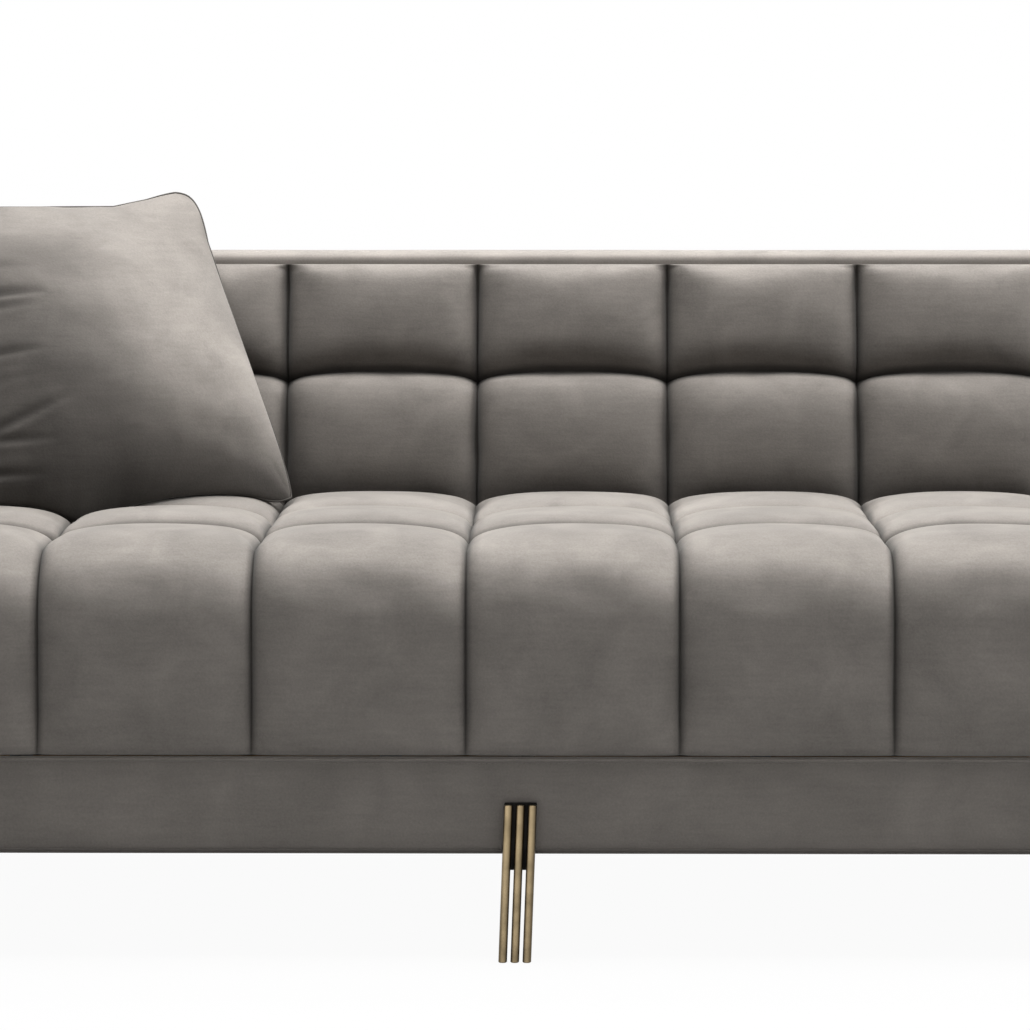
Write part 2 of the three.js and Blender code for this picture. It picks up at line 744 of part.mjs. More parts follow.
// A square filled form: full in the middle, thin at its sewn edge, drawn in between its corners
function pillow(half, halfThickness) {
  const positions = [];
  const faces = [];
  const rings = { front: [], rear: [] };
  const share = (step) => Math.sin((step / cushionCells - 0.5) * Math.PI);
  for (const [side, sign] of [["front", 1], ["rear", -1]]) {
    for (let row = 0; row <= cushionCells; row += 1) {
      for (let column = 0; column <= cushionCells; column += 1) {
        const u = share(column);
        const v = share(row);
        const onSeam = row === 0 || column === 0 || row === cushionCells || column === cushionCells;
        if (side === "rear" && onSeam) {
          rings.rear.push(rings.front[row * (cushionCells + 1) + column]);
        } else {
          const full = Math.sqrt(Math.max(0, (1 - u ** 2) * (1 - v ** 2)));
          const x = half * u * (1 - cushionDrawInShare * (1 - v ** 2));
          const y = half * v * (1 - cushionDrawInShare * (1 - u ** 2));
          rings[side].push(positions.length / 3);
          positions.push(x, y, onSeam ? 0 : sign * halfThickness * full);
        }
      }
    }
  }
  for (const side of ["front", "rear"]) {
    for (let row = 0; row < cushionCells; row += 1) {
      for (let column = 0; column < cushionCells; column += 1) {
        const at = row * (cushionCells + 1) + column;
        const ring = rings[side];
        const quad = [ring[at], ring[at + 1], ring[at + cushionCells + 2], ring[at + cushionCells + 1]];
        if (side === "rear") quad.reverse();
        faces.push(quad[0], quad[1], quad[2], quad[0], quad[2], quad[3]);
      }
    }
  }
  const geometry = new THREE.BufferGeometry();
  geometry.setAttribute("position", new THREE.Float32BufferAttribute(positions, 3));
  geometry.setIndex(faces);
  return geometry;
}

function addCushion() {
  const across = new THREE.Vector3(Math.cos(cushionTurn), Math.sin(cushionTurn), 0);
  const level = new THREE.Vector3(-Math.sin(cushionTurn), Math.cos(cushionTurn), 0);
  const rise = level.clone().multiplyScalar(Math.sin(cushionLean));
  rise.z = Math.cos(cushionLean);
  const facing = across.clone().cross(rise);
  const foot = seatTop - cushionSink;
  const leanBack = (backTop - foot) * Math.tan(cushionLean);
  const atBackTop = (backTop - foot) / (cushionHalf * Math.cos(cushionLean)) - 1;
  const fullness = Math.max(0, 1 - atBackTop ** 2);
  const side = cushionHalf * (1 - cushionDrawInShare * fullness);
  const swell = cushionHalfThickness * Math.sqrt(fullness) * Math.cos(cushionLean);
  const reachToArm = Math.hypot(side * across.x, swell * across.y) + leanBack * across.y;
  const reachToBack = Math.hypot(side * across.y, swell * across.x) + leanBack * across.x;
  const padFront = backPadRear - (backPadDepth - backTopDraw) * Math.cos(backRecline);
  const bottomMiddle = new THREE.Vector3(
    armThickness + cushionArmClear + reachToArm,
    padFront - cushionBackClear - reachToBack,
    foot);
  const centre = bottomMiddle.addScaledVector(rise, cushionHalf);
  const cushion = pillow(cushionHalf, cushionHalfThickness);
  const placed = new THREE.Matrix4().makeBasis(across, rise, facing).setPosition(centre);
  cushion.applyMatrix4(placed);
  const reach = 2 * cushionHalf + 2 * cutOverrun;
  const floor = boxBetween(
    [centre.x - reach, centre.y - reach, seatTop - reach],
    [centre.x + reach, centre.y + reach, seatTop + fitGap]);
  const resting = toSolid(cushion).subtract(toSolid(floor));
  addPiece("scatter_cushion", toGeometry(resting), "velvet");
}

addLegs();
addPlinth();
addSuspension();
addSeat();
addBackFrame();
addBackShell();
addBackPad();
addArm();
addCushion();

workshop.position.set(-overallWidth / 2, -middleDepth, 0);
const recamier = new THREE.Group();
recamier.name = "recamier";
recamier.add(workshop);

export default recamier;
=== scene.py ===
"""Dresses the packed recamier in velvet, piping and brass, and sets a plain studio round it."""

import math

import bmesh
import bpy
import numpy as np
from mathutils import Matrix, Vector, noise
from mathutils.bvhtree import BVHTree


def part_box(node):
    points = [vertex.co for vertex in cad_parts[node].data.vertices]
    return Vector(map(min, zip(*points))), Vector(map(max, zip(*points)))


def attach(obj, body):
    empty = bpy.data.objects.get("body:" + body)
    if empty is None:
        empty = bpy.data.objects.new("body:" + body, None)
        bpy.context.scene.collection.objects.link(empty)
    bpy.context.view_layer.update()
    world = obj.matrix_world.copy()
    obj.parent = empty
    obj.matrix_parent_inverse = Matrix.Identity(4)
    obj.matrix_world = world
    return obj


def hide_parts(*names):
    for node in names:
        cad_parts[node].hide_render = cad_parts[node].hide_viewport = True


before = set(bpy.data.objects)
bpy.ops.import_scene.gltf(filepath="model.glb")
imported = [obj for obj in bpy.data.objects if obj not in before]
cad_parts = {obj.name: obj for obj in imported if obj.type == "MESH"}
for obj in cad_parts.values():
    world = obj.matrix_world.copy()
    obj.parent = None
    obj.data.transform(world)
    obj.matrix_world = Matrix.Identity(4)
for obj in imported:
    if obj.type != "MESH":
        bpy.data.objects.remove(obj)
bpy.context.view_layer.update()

bl_info = {
    "name": "Tufted Recamier",
    "version": (1, 0, 0),
    "blender": (4, 5, 0),
    "location": "View3D > Sidebar > Recamier",
    "description": "Velvet covers, piping, brass legs and inner cloths of a tufted recamier",
    "category": "Object",
}

MAIN_BODY = "recamier"
CUSHION_BODY = "cushion"
FINISH_PREFIX = "finish_"
# The attribute that carries painted light and shade on the velvet
PAINTED_LIGHT_ATTRIBUTE = "painted_light"
# The attribute that carries painted reflection and shade on the brass rods
PAINTED_REFLECTION_ATTRIBUTE = "painted_reflection"

# Places and sizes shared with the solids
PLINTH_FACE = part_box("plinth_front_cover")[0].y
PLINTH_DEPTH = 0.770
SEAT_LOW, SEAT_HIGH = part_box("seat_tufted_cover")
BACK_LOW, BACK_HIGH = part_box("back_tufted_pad")
SHELL_LOW, SHELL_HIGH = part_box("back_shell")
COLUMNS = 7
RECLINE = math.radians(15.8)
PAD_BELOW_TOP = 0.025
PAD_HEIGHT = 0.280
CONTACT = 0.0003


# Sizes and colours that a user would change

def a_length(name, description, default, low=0.0):
    """A length among the settings."""
    return bpy.props.FloatProperty(
        name=name, description=description, default=default, min=low, unit="LENGTH")


def an_angle(name, description, default):
    """An angle among the settings."""
    return bpy.props.FloatProperty(name=name, description=description, default=default, subtype="ANGLE")


def a_colour(name, description, default):
    """A colour among the settings."""
    return bpy.props.FloatVectorProperty(
        name=name, description=description, default=(*default, 1), subtype="COLOR", size=4, min=0, max=1)


def a_place(name, description, default):
    """A place among the settings."""
    return bpy.props.FloatVectorProperty(
        name=name, description=description, default=default, subtype="TRANSLATION")


def a_power(name, description, default):
    """A lamp's power among the settings."""
    return bpy.props.FloatProperty(name=name, description=description, default=default, min=0, unit="POWER")


class RecamierTufting(bpy.types.PropertyGroup):
    """Sizes of the tufted covers"""

    column_pitch: a_length("Column pitch", "Distance between two seams along the seat", 0.220, 0.05)
    front_row: a_length("Front row", "Depth of the seat's front row of blocks", 0.205, 0.05)
    middle_row: a_length("Middle row", "Depth of the seat's middle row of blocks", 0.190, 0.05)
    seat_seam: a_length("Seat seam depth", "How far the seams between the seat's columns are drawn in", 0.024)
    seat_row_seam: a_length(
        "Seat row seam depth", "How far the seams between the seat's rows are drawn in", 0.024)
    back_seam: a_length("Back seam depth", "How far the seams between the back's columns are drawn in", 0.034)
    back_row_seam: a_length(
        "Back row seam depth", "How far the seam between the back's rows is drawn in", 0.030)
    upper_row: a_length("Upper row", "Height of the back's upper row of blocks along the back", 0.132, 0.03)
    lower_row: a_length("Lower row", "Height of the back's lower row of blocks along the back", 0.148, 0.03)
    row_arch: a_length(
        "Row arch", "How far the seam between the back's rows rises in a block's middle", 0.008)
    pucker: a_length("Pucker", "Height of the small folds that run out from the tuft points", 0.0011)
    unevenness: a_length("Unevenness", "How far the stuffing lifts or sinks over a block", 0.0016)


class RecamierCushion(bpy.types.PropertyGroup):
    """Sizes of the scatter cushion"""

    half_side: a_length("Half side", "Half of the cushion's side, corner to corner", 0.203, 0.05)
    half_thickness: a_length("Half thickness", "Half of the cushion's thickness in its middle", 0.062, 0.01)
    turn: an_angle("Turn", "How far the cushion is turned into its corner", math.radians(30))
    lean: an_angle("Lean", "How far the cushion leans back", math.radians(31))
    foot: a_place("Foot", "Middle of the cushion's lower edge", (-0.443, 0.021, 0.4401))


class RecamierLegs(bpy.types.PropertyGroup):
    """Sizes of the legs"""

    rod_diameter: a_length("Rod diameter", "Diameter of one brass rod", 0.009, 0.002)
    rod_spacing: a_length("Rod spacing", "Distance between the axes of two rods", 0.0124, 0.002)
    rod_chamfer: a_length("Rod chamfer", "Chamfer at the ends of a rod", 0.0009)
    lean: an_angle("Lean", "How far a leg leans along the seat", math.radians(2.1))


class RecamierColours(bpy.types.PropertyGroup):
    """Colours of the finishes"""

    velvet: a_colour("Velvet", "Colour of the velvet", (0.152, 0.1390, 0.1270))
    velvet_sheen: a_colour("Velvet sheen", "Colour of the velvet's pile at a low angle", (0.82, 0.845, 0.83))
    brass: a_colour("Brass", "Colour of the antique brass", (0.52, 0.40, 0.235))
    steel: a_colour("Steel", "Colour of the blackened steel", (0.012, 0.011, 0.010))
    wood: a_colour("Wood", "Colour of the frame's hardwood", (0.43, 0.26, 0.125))


class RecamierStage(bpy.types.PropertyGroup):
    """The studio round the recamier"""

    top_power: a_power("Top lamp", "Power of the large soft lamp above the seat", 70)
    rear_power: a_power("Rear lamp", "Power of the soft lamp above and behind the back", 46)
    card_power: a_power("Floor card", "Power of the low light thrown up at the front", 9.2)
    side_power: a_power("Side lamp", "Power of the soft lamp at the right", 42)
    room_light: bpy.props.FloatProperty(
        name="Room light", description="Strength of the even light from all round", default=0.06, min=0)
    camera_place: a_place("Camera place", "Where the camera stands", (0.0505, -5.1934, 0.8251))
    camera_yaw: an_angle("Camera yaw", "How far the camera looks to the right", -0.0111)
    camera_pitch: an_angle("Camera pitch", "How far the camera looks up", -0.0758)
    camera_lens: bpy.props.FloatProperty(
        name="Camera lens", description="Focal length in millimetres on a 36 mm sensor",
        default=164.61, min=10)


# Making node trees

def add_node(tree, kind, inputs=None, **settings):
    """Adds a node, sets its properties, and sets or links its inputs."""
    node = tree.nodes.new(kind)
    for key, value in settings.items():
        setattr(node, key, value)
    for key, value in (inputs or {}).items():
        if isinstance(value, bpy.types.NodeSocket):
            tree.links.new(value, node.inputs[key])
        else:
            node.inputs[key].default_value = value
    return node


def math_node(tree, operation, first, second=0.0, clamp=False):
    """Adds a math node and returns its result."""
    node = add_node(tree, "ShaderNodeMath", {0: first, 1: second}, operation=operation, use_clamp=clamp)
    return node.outputs[0]


def plus(tree, first, second):
    """The sum of two values."""
    return math_node(tree, "ADD", first, second)


def minus(tree, first, second):
    """One value less another."""
    return math_node(tree, "SUBTRACT", first, second)


def times(tree, first, second):
    """The product of two values."""
    return math_node(tree, "MULTIPLY", first, second)


def remap(tree, value, low, high, to_low, to_high):
    """Maps a value from one range to another, clamped."""
    return add_node(tree, "ShaderNodeMapRange", {
        "Value": value, "From Min": low, "From Max": high, "To Min": to_low, "To Max": to_high}).outputs[0]


def vector_node(tree, operation, inputs):
    """Adds a vector math node and returns its vector."""
    return add_node(tree, "ShaderNodeVectorMath", inputs, operation=operation).outputs[0]


def combined(tree, **parts):
    """A vector made of single values, called X, Y and Z."""
    return add_node(tree, "ShaderNodeCombineXYZ", parts).outputs[0]


def mixed_colour(tree, factor, first, second):
    """Mixes two colours and returns the result."""
    return add_node(tree, "ShaderNodeMix", {0: factor, 6: first, 7: second}, data_type="RGBA").outputs[2]


def noise_texture(tree, vector, scale, detail, roughness=0.5, distortion=0.0, output=0):
    """Adds a noise texture and returns its value, or its colour."""
    return add_node(tree, "ShaderNodeTexNoise", {
        "Vector": vector, "Scale": scale, "Detail": detail, "Roughness": roughness,
        "Distortion": distortion}).outputs[output]


def stretched(tree, vector, scale):
    """A vector scaled differently along each axis."""
    return add_node(tree, "ShaderNodeMapping", {"Vector": vector, "Scale": scale}).outputs[0]


def shader_group(name, inputs):
    """Starts a shader group, and returns it with the outputs of its input node."""
    kinds = {float: "NodeSocketFloat", tuple: "NodeSocketColor", type(None): "NodeSocketVector"}
    group = bpy.data.node_groups.new(name, "ShaderNodeTree")
    for label, value in inputs.items():
        socket = group.interface.new_socket(label, in_out="INPUT", socket_type=kinds[type(value)])
        if value is not None:
            socket.default_value = value
    return group, group.nodes.new("NodeGroupInput").outputs


def end_group(group, colour, roughness, height):
    """Ends a shader group with the three results that every surface has."""
    for label, kind in (("Colour", "Color"), ("Roughness", "Float"), ("Height", "Float")):
        group.interface.new_socket(label, in_out="OUTPUT", socket_type="NodeSocket" + kind)
    add_node(group, "NodeGroupOutput", {"Colour": colour, "Roughness": roughness, "Height": height})
    return group


def make_nap_group():
    """Velvet pile: cloudy patches where it was brushed, faint streaks and a fine grain, all scaled by an
    input that carries painted light and shade.
    """
    group, given = shader_group("Velvet nap", {
        "Vector": None, "Colour": (0.25, 0.24, 0.22, 1), "Patch Scale": 7.0, "Patch Amount": 0.12,
        "Grain Scale": 420.0, "Grain Amount": 0.19, "Painted Light": 0.0})
    vector = given["Vector"]
    patches = noise_texture(group, vector, given["Patch Scale"], 3.0, 0.55, 0.6)
    streaks = noise_texture(group, stretched(group, vector, (24.0, 24.0, 200.0)), 1.0, 3.0, 0.6)
    grain = noise_texture(group, vector, given["Grain Scale"], 2.0, 0.7)
    patch, streak, speck = (minus(group, texture, 0.5) for texture in (patches, streaks, grain))
    nap = plus(group, patch, times(group, streak, 0.36))
    shade = plus(group, times(group, nap, given["Patch Amount"]), times(group, speck, given["Grain Amount"]))
    shade = plus(group, times(group, shade, 2.0), 1.0)
    shade = times(group, shade, plus(group, given["Painted Light"], 1.0))
    colour = vector_node(group, "SCALE", {0: given["Colour"], "Scale": shade})
    roughness = remap(group, nap, -0.35, 0.35, 0.78, 0.96)
    return end_group(group, colour, roughness, plus(group, times(group, streak, 0.8), speck))


def make_weave_group():
    """Plain weave: warp and weft threads that pass over and under each other."""
    group, given = shader_group("Plain weave", {
        "Vector": None, "Warp Colour": (0.5, 0.4, 0.3, 1), "Weft Colour": (0.4, 0.3, 0.2, 1),
        "Threads": 500.0})
    wobble = noise_texture(group, given["Vector"], 22.0, 2.0, output=1)
    bend = vector_node(group, "MULTIPLY", {0: wobble, 1: (0.0016, 0.0016, 0.0016)})
    bent = vector_node(group, "ADD", {0: given["Vector"], 1: bend})
    threads = vector_node(group, "SCALE", {0: bent, "Scale": given["Threads"]})
    parts = add_node(group, "ShaderNodeSeparateXYZ", {0: threads}).outputs
    across, along = (math_node(group, "SINE", times(group, place, math.pi))
                     for place in (parts["X"], plus(group, parts["Y"], parts["Z"])))
    mask = remap(group, times(group, across, along), -0.12, 0.12, 0.0, 1.0)
    colour = mixed_colour(group, mask, given["Warp Colour"], given["Weft Colour"])
    height = plus(group, math_node(group, "ABSOLUTE", across), math_node(group, "ABSOLUTE", along))
    return end_group(group, colour, remap(group, height, 0.0, 2.0, 0.95, 0.75), height)


def make_patina_group():
    """Metal with clouds of tarnish and fine scratches, made darker where the input for painted reflection and
    shade is low.
    """
    group, given = shader_group("Patina", {
        "Vector": None, "Colour": (0.3, 0.25, 0.15, 1), "Tarnish Colour": (0.1, 0.08, 0.05, 1),
        "Tarnish Scale": 45.0, "Smoothest": 0.25, "Roughest": 0.45, "Painted Reflection": 1.0})
    clouds = noise_texture(group, given["Vector"], given["Tarnish Scale"], 4.0, 0.6)
    scratches = noise_texture(group, stretched(group, given["Vector"], (900.0, 900.0, 26.0)), 1.0, 1.0)
    tarnish = remap(group, clouds, 0.42, 0.70, 0.0, 0.7)
    colour = mixed_colour(group, tarnish, given["Colour"], given["Tarnish Colour"])
    painted_reflection = vector_node(group, "SCALE", {
        0: colour, "Scale": remap(group, given["Painted Reflection"], 0.0, 1.0, 0.22, 1.0)})
    blend = plus(group, times(group, clouds, 0.6), times(group, scratches, 0.4))
    roughness = remap(group, blend, 0.3, 0.7, given["Smoothest"], given["Roughest"])
    return end_group(group, painted_reflection, roughness, scratches)


# Making materials

def new_material(name, **constants):
    """Starts a material with a Principled shader, and returns it with its tree, shader and coordinates."""
    material = bpy.data.materials.new(FINISH_PREFIX + name)
    material.use_nodes = True
    tree = material.node_tree
    tree.nodes.clear()
    shader = add_node(tree, "ShaderNodeBsdfPrincipled", {
        label.replace("_", " "): value for label, value in constants.items()})
    add_node(tree, "ShaderNodeOutputMaterial", {"Surface": shader.outputs[0]})
    return material, tree, shader, tree.nodes.new("ShaderNodeTexCoord").outputs["Object"]


def feed(tree, shader, colour, roughness, height, strength, distance):
    """Feeds a shader with a colour, a roughness and a bump."""
    bump = add_node(tree, "ShaderNodeBump", {"Strength": strength, "Distance": distance, "Height": height})
    tree.links.new(colour, shader.inputs["Base Color"])
    tree.links.new(roughness, shader.inputs["Roughness"])
    tree.links.new(bump.outputs[0], shader.inputs["Normal"])


def feed_from_group(tree, shader, group, inputs, strength, distance):
    """Feeds a shader from a surface group."""
    surface = add_node(tree, "ShaderNodeGroup", inputs, node_tree=group).outputs
    feed(tree, shader, surface["Colour"], surface["Roughness"], surface["Height"], strength, distance)


def painted_value(tree, name):
    """The value that an attribute has on the piece."""
    return add_node(
        tree, "ShaderNodeAttribute", attribute_name=name, attribute_type="GEOMETRY").outputs["Fac"]


def dimmed(colour, share):
    """A darker or paler copy of a colour."""
    return [channel * share for channel in colour[:3]] + [1]


def make_velvet(name, colours, group, brightness, patch_scale, patch_amount):
    """Velvet for one kind of cover."""
    _, tree, shader, coordinates = new_material(
        name, Specular_IOR_Level=0.12, Sheen_Weight=0.22, Sheen_Roughness=0.38,
        Sheen_Tint=colours.velvet_sheen)
    # The velvet is scaled by the painted light and shade that the pieces carry
    feed_from_group(tree, shader, group, {
        "Vector": coordinates, "Colour": dimmed(colours.velvet, brightness), "Patch Scale": patch_scale,
        "Patch Amount": patch_amount, "Painted Light": painted_value(tree, PAINTED_LIGHT_ATTRIBUTE)}, 0.35, 0.0006)


def make_woven(name, group, warp, weft, threads):
    """A woven cloth."""
    _, tree, shader, coordinates = new_material(name, Specular_IOR_Level=0.2)
    feed_from_group(tree, shader, group, {
        "Vector": coordinates, "Warp Colour": (*warp, 1), "Weft Colour": (*weft, 1), "Threads": threads},
        0.6, 0.0008)


def make_metal(name, group, colour, tarnish, smoothest, roughest, with_painted_reflection=False):
    """A metal with a patina; if asked, painted reflection and shade from an attribute make it brighter or
    darker in places.
    """
    _, tree, shader, coordinates = new_material(name, Metallic=1.0)
    inputs = {"Vector": coordinates, "Colour": colour, "Tarnish Colour": tarnish,
              "Smoothest": smoothest, "Roughest": roughest}
    if with_painted_reflection:
        inputs["Painted Reflection"] = painted_value(tree, PAINTED_REFLECTION_ATTRIBUTE)
    feed_from_group(tree, shader, group, inputs, 0.15, 0.0002)


def make_wood(name, colours, grain):
    """Planed hardwood, with its grain along one axis."""
    _, tree, shader, coordinates = new_material(name)
    rings = noise_texture(tree, stretched(tree, coordinates, grain), 1.0, 5.0, 0.6, 0.8)
    band = remap(tree, rings, 0.38, 0.62, 0.0, 1.0)
    colour = mixed_colour(tree, band, colours.wood, dimmed(colours.wood, 0.55))
    feed(tree, shader, colour, remap(tree, rings, 0.3, 0.7, 0.55, 0.75), rings, 0.25, 0.0006)


def make_foam(name):
    """Open-celled upholstery foam."""
    _, tree, shader, coordinates = new_material(name)
    cells = add_node(tree, "ShaderNodeTexVoronoi", {"Vector": coordinates, "Scale": 420.0}).outputs[0]
    colour = mixed_colour(tree, cells, (0.74, 0.66, 0.44, 1), (0.86, 0.80, 0.62, 1))
    feed(tree, shader, colour, remap(tree, cells, 0.0, 1.0, 0.85, 0.98), cells, 0.5, 0.0006)


def finish_of(name):
    """A finish by name, made by the first operator."""
    return bpy.data.materials[FINISH_PREFIX + name]


# Making meshes

def add_mesh(name, points, faces, finish, smooth=True):
    """A mesh object from points and faces, at the origin."""
    mesh = bpy.data.meshes.new(name)
    mesh.from_pydata([tuple(point) for point in points], [], [tuple(face) for face in faces])
    mesh.validate()
    mesh.materials.append(finish_of(finish))
    piece = bpy.data.objects.new(name, mesh)
    bpy.context.scene.collection.objects.link(piece)
    if smooth:
        mesh.shade_smooth()
    return piece


def soften(piece):
    """Adds a subdivision surface of one level."""
    modifier = piece.modifiers.new("Soft surface", "SUBSURF")
    modifier.levels = modifier.render_levels = 1


def read_vectors(items, key):
    """A vector of every item of a mesh, one in each row."""
    values = np.empty(len(items) * 3)
    items.foreach_get(key, values)
    return values.reshape(-1, 3)


def move_points(piece, points):
    """Puts a piece's points in new places."""
    piece.data.vertices.foreach_set("co", points.ravel())
    piece.data.update()


def paint(piece, name, values):
    """Writes an attribute with a value at each point."""
    layer = piece.data.attributes.get(name) or piece.data.attributes.new(name, "FLOAT", "POINT")
    layer.data.foreach_set("value", values)


def bell(value, middle, width):
    """1 at the middle, falling smoothly to 0 about two widths away."""
    return np.exp(-((value - middle) / width) ** 2)


def ramp(value, low, high, floor=0):
    """From 0, or a floor, at the low value to 1 at the high one."""
    return np.clip((value - low) / (high - low), floor, 1)


def beyond(value, limit, softness):
    """0 well before a limit and 1 well past it, with a soft step between them."""
    return 1 / (1 + np.exp(np.clip((limit - value) / softness, -40, 40)))


# How the painted light and shade on the velvet follow the way that a surface faces
LIGHT_FROM_ABOVE = 0.97
LIT_CURVE = (1.30, 0.34)
SHADED_CURVE = (0.60, 0.45)
HIGHLIGHT_BAND = (0.68, 0.18)
SHADE_BAND = (0.20, 0.09)
SHADE_BAND_DEPTH = 0.13
CREASE_SHADE_DARKNESS = 0.72


def paint_velvet_light(piece, sideways=0.12, painted_shade=0.0, combed=0.0, crest=0.56):
    """Paints light and shade on velvet: pale where it faces up and to the right, dark where it faces down,
    and darker still where a seam's shade is given.
    """
    facing_light = read_vectors(piece.data.vertex_normals, "vector") @ np.array((sideways, 0, LIGHT_FROM_ABOVE)) - combed
    up = np.maximum(facing_light, 0) ** 2
    light_and_shade = np.where(facing_light > 0, LIT_CURVE[0] * up / (LIT_CURVE[1] + up),
                   SHADED_CURVE[0] * facing_light / (SHADED_CURVE[1] - facing_light))
    light_and_shade += crest * bell(facing_light, *HIGHLIGHT_BAND) - SHADE_BAND_DEPTH * bell(facing_light, *SHADE_BAND)
    paint(piece, PAINTED_LIGHT_ATTRIBUTE, light_and_shade * (1 - painted_shade) - CREASE_SHADE_DARKNESS * painted_shade)


def dress(piece, body, slot, replaced=()):
    """Ties a piece to its body and hides the solids that it stands for."""
    # Every velvet piece gets painted light and shade from the way it faces
    if slot.startswith("velvet"):
        paint_velvet_light(piece)
    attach(piece, body)
    if replaced:
        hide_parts(*replaced)


def grid_block(xs, ys, zs):
    """Points and outward quads of the surface of a block cut along grid lines."""
    index = {}
    points = []
    faces = []

    def corner(i, j, k):
        key = (i, j, k)
        if key not in index:
            index[key] = len(points)
            points.append((xs[i], ys[j], zs[k]))
        return index[key]

    nx, ny, nz = len(xs) - 1, len(ys) - 1, len(zs) - 1
    for i in range(nx):
        for j in range(ny):
            faces.append((corner(i, j, nz), corner(i + 1, j, nz),
                          corner(i + 1, j + 1, nz), corner(i, j + 1, nz)))
            faces.append((corner(i, j, 0), corner(i, j + 1, 0), corner(i + 1, j + 1, 0), corner(i + 1, j, 0)))
        for k in range(nz):
            faces.append((corner(i, 0, k), corner(i + 1, 0, k), corner(i + 1, 0, k + 1), corner(i, 0, k + 1)))
            faces.append((corner(i, ny, k), corner(i, ny, k + 1),
                          corner(i + 1, ny, k + 1), corner(i + 1, ny, k)))
    for j in range(ny):
        for k in range(nz):
            faces.append((corner(0, j, k), corner(0, j, k + 1), corner(0, j + 1, k + 1), corner(0, j + 1, k)))
            faces.append((corner(nx, j, k), corner(nx, j + 1, k),
                          corner(nx, j + 1, k + 1), corner(nx, j, k + 1)))
    return np.array(points), faces


# How tufting is drawn

COLUMN_LINES = (0, 0.01, 0.032, 0.07, 0.125, 0.2, 0.3, 0.4, 0.5, 0.6, 0.7, 0.8, 0.875, 0.93, 0.968, 0.99)
ROW_LINES = (0, 0.015, 0.05, 0.11, 0.2, 0.33, 0.5, 0.67, 0.8, 0.89, 0.95, 0.985)
SIDE_LINES = (0, 0.012, 0.035, 0.075, 0.14, 0.23, 0.36, 0.52, 0.70, 0.86)
FEW_SIDE_LINES = (0, 0.35, 0.7)
ARC_STEPS = 6
ARC = [math.tan(math.radians(45) * step / ARC_STEPS) for step in range(ARC_STEPS + 1)]
LINE_GAP = 0.004
TINY = 1e-9
SEAM_BLEND = 1.6
PIT_REACH = 0.012
DEEPEST = 0.965
# Width of the painted shade along a column seam
SEAM_SHADE_WIDTH = 0.0022
LEAST_SEAM = 0.006
ARCH_REACH = 0.03
FOOT_REACH = 0.02
UNEVEN_SCALE = 7.5
SEWN = 0.985

# What a pad has unless it says otherwise: no skewed columns, no held rear, no dips, pits, crown, drop or arch
PLAIN_PAD = {
    "skews": [0] * COLUMNS, "rear_hold": 0, "rear_reach": 0.05, "row_dip": 0, "pit": 0, "tuck": None,
    "crown": 0, "row_lifts": [0, 0, 0], "foot_drop": 0, "row_arch": 0}


def seam_lines(seams, shares, low_radius, high_radius, free_low, free_high):
    """Grid lines across a row of blocks, close together beside the seams and along a rounded end."""
    lines = []
    low_inner = seams[0] + low_radius
    high_inner = seams[-1] - high_radius
    for start, end in zip(seams, seams[1:]):
        for share in shares:
            at = start + share * (end - start)
            if not (free_low and at < low_inner + LINE_GAP or free_high and at > high_inner - LINE_GAP):
                lines.append(at)
    if free_low:
        lines += [low_inner - share * low_radius for share in ARC]
    lines += [high_inner + share * high_radius for share in ARC] if free_high else [seams[-1]]
    return np.array(sorted(set(round(line, 7) for line in lines)))


def across_block(at, seams):
    """The block that each place is in, and where it lies across it, from -1 to 1."""
    block = np.clip(np.searchsorted(seams, at, side="right") - 1, 0, len(seams) - 2)
    low, high = seams[block], seams[block + 1]
    return block, np.clip((2 * at - low - high) / (high - low), -1, 1)


def nearer_seam(values, block, across):
    """The value that the nearer seam of each place's block has."""
    values = np.array(values)
    return np.where(across < 0, values[block], values[block + 1])


def seam_pull(across, fullness):
    """How far a seam draws the cover in, from 0 on the crown of a block to 1 in the seam."""
    return 1 - np.sqrt(np.clip(1 - np.abs(across) ** fullness, 0, 1))


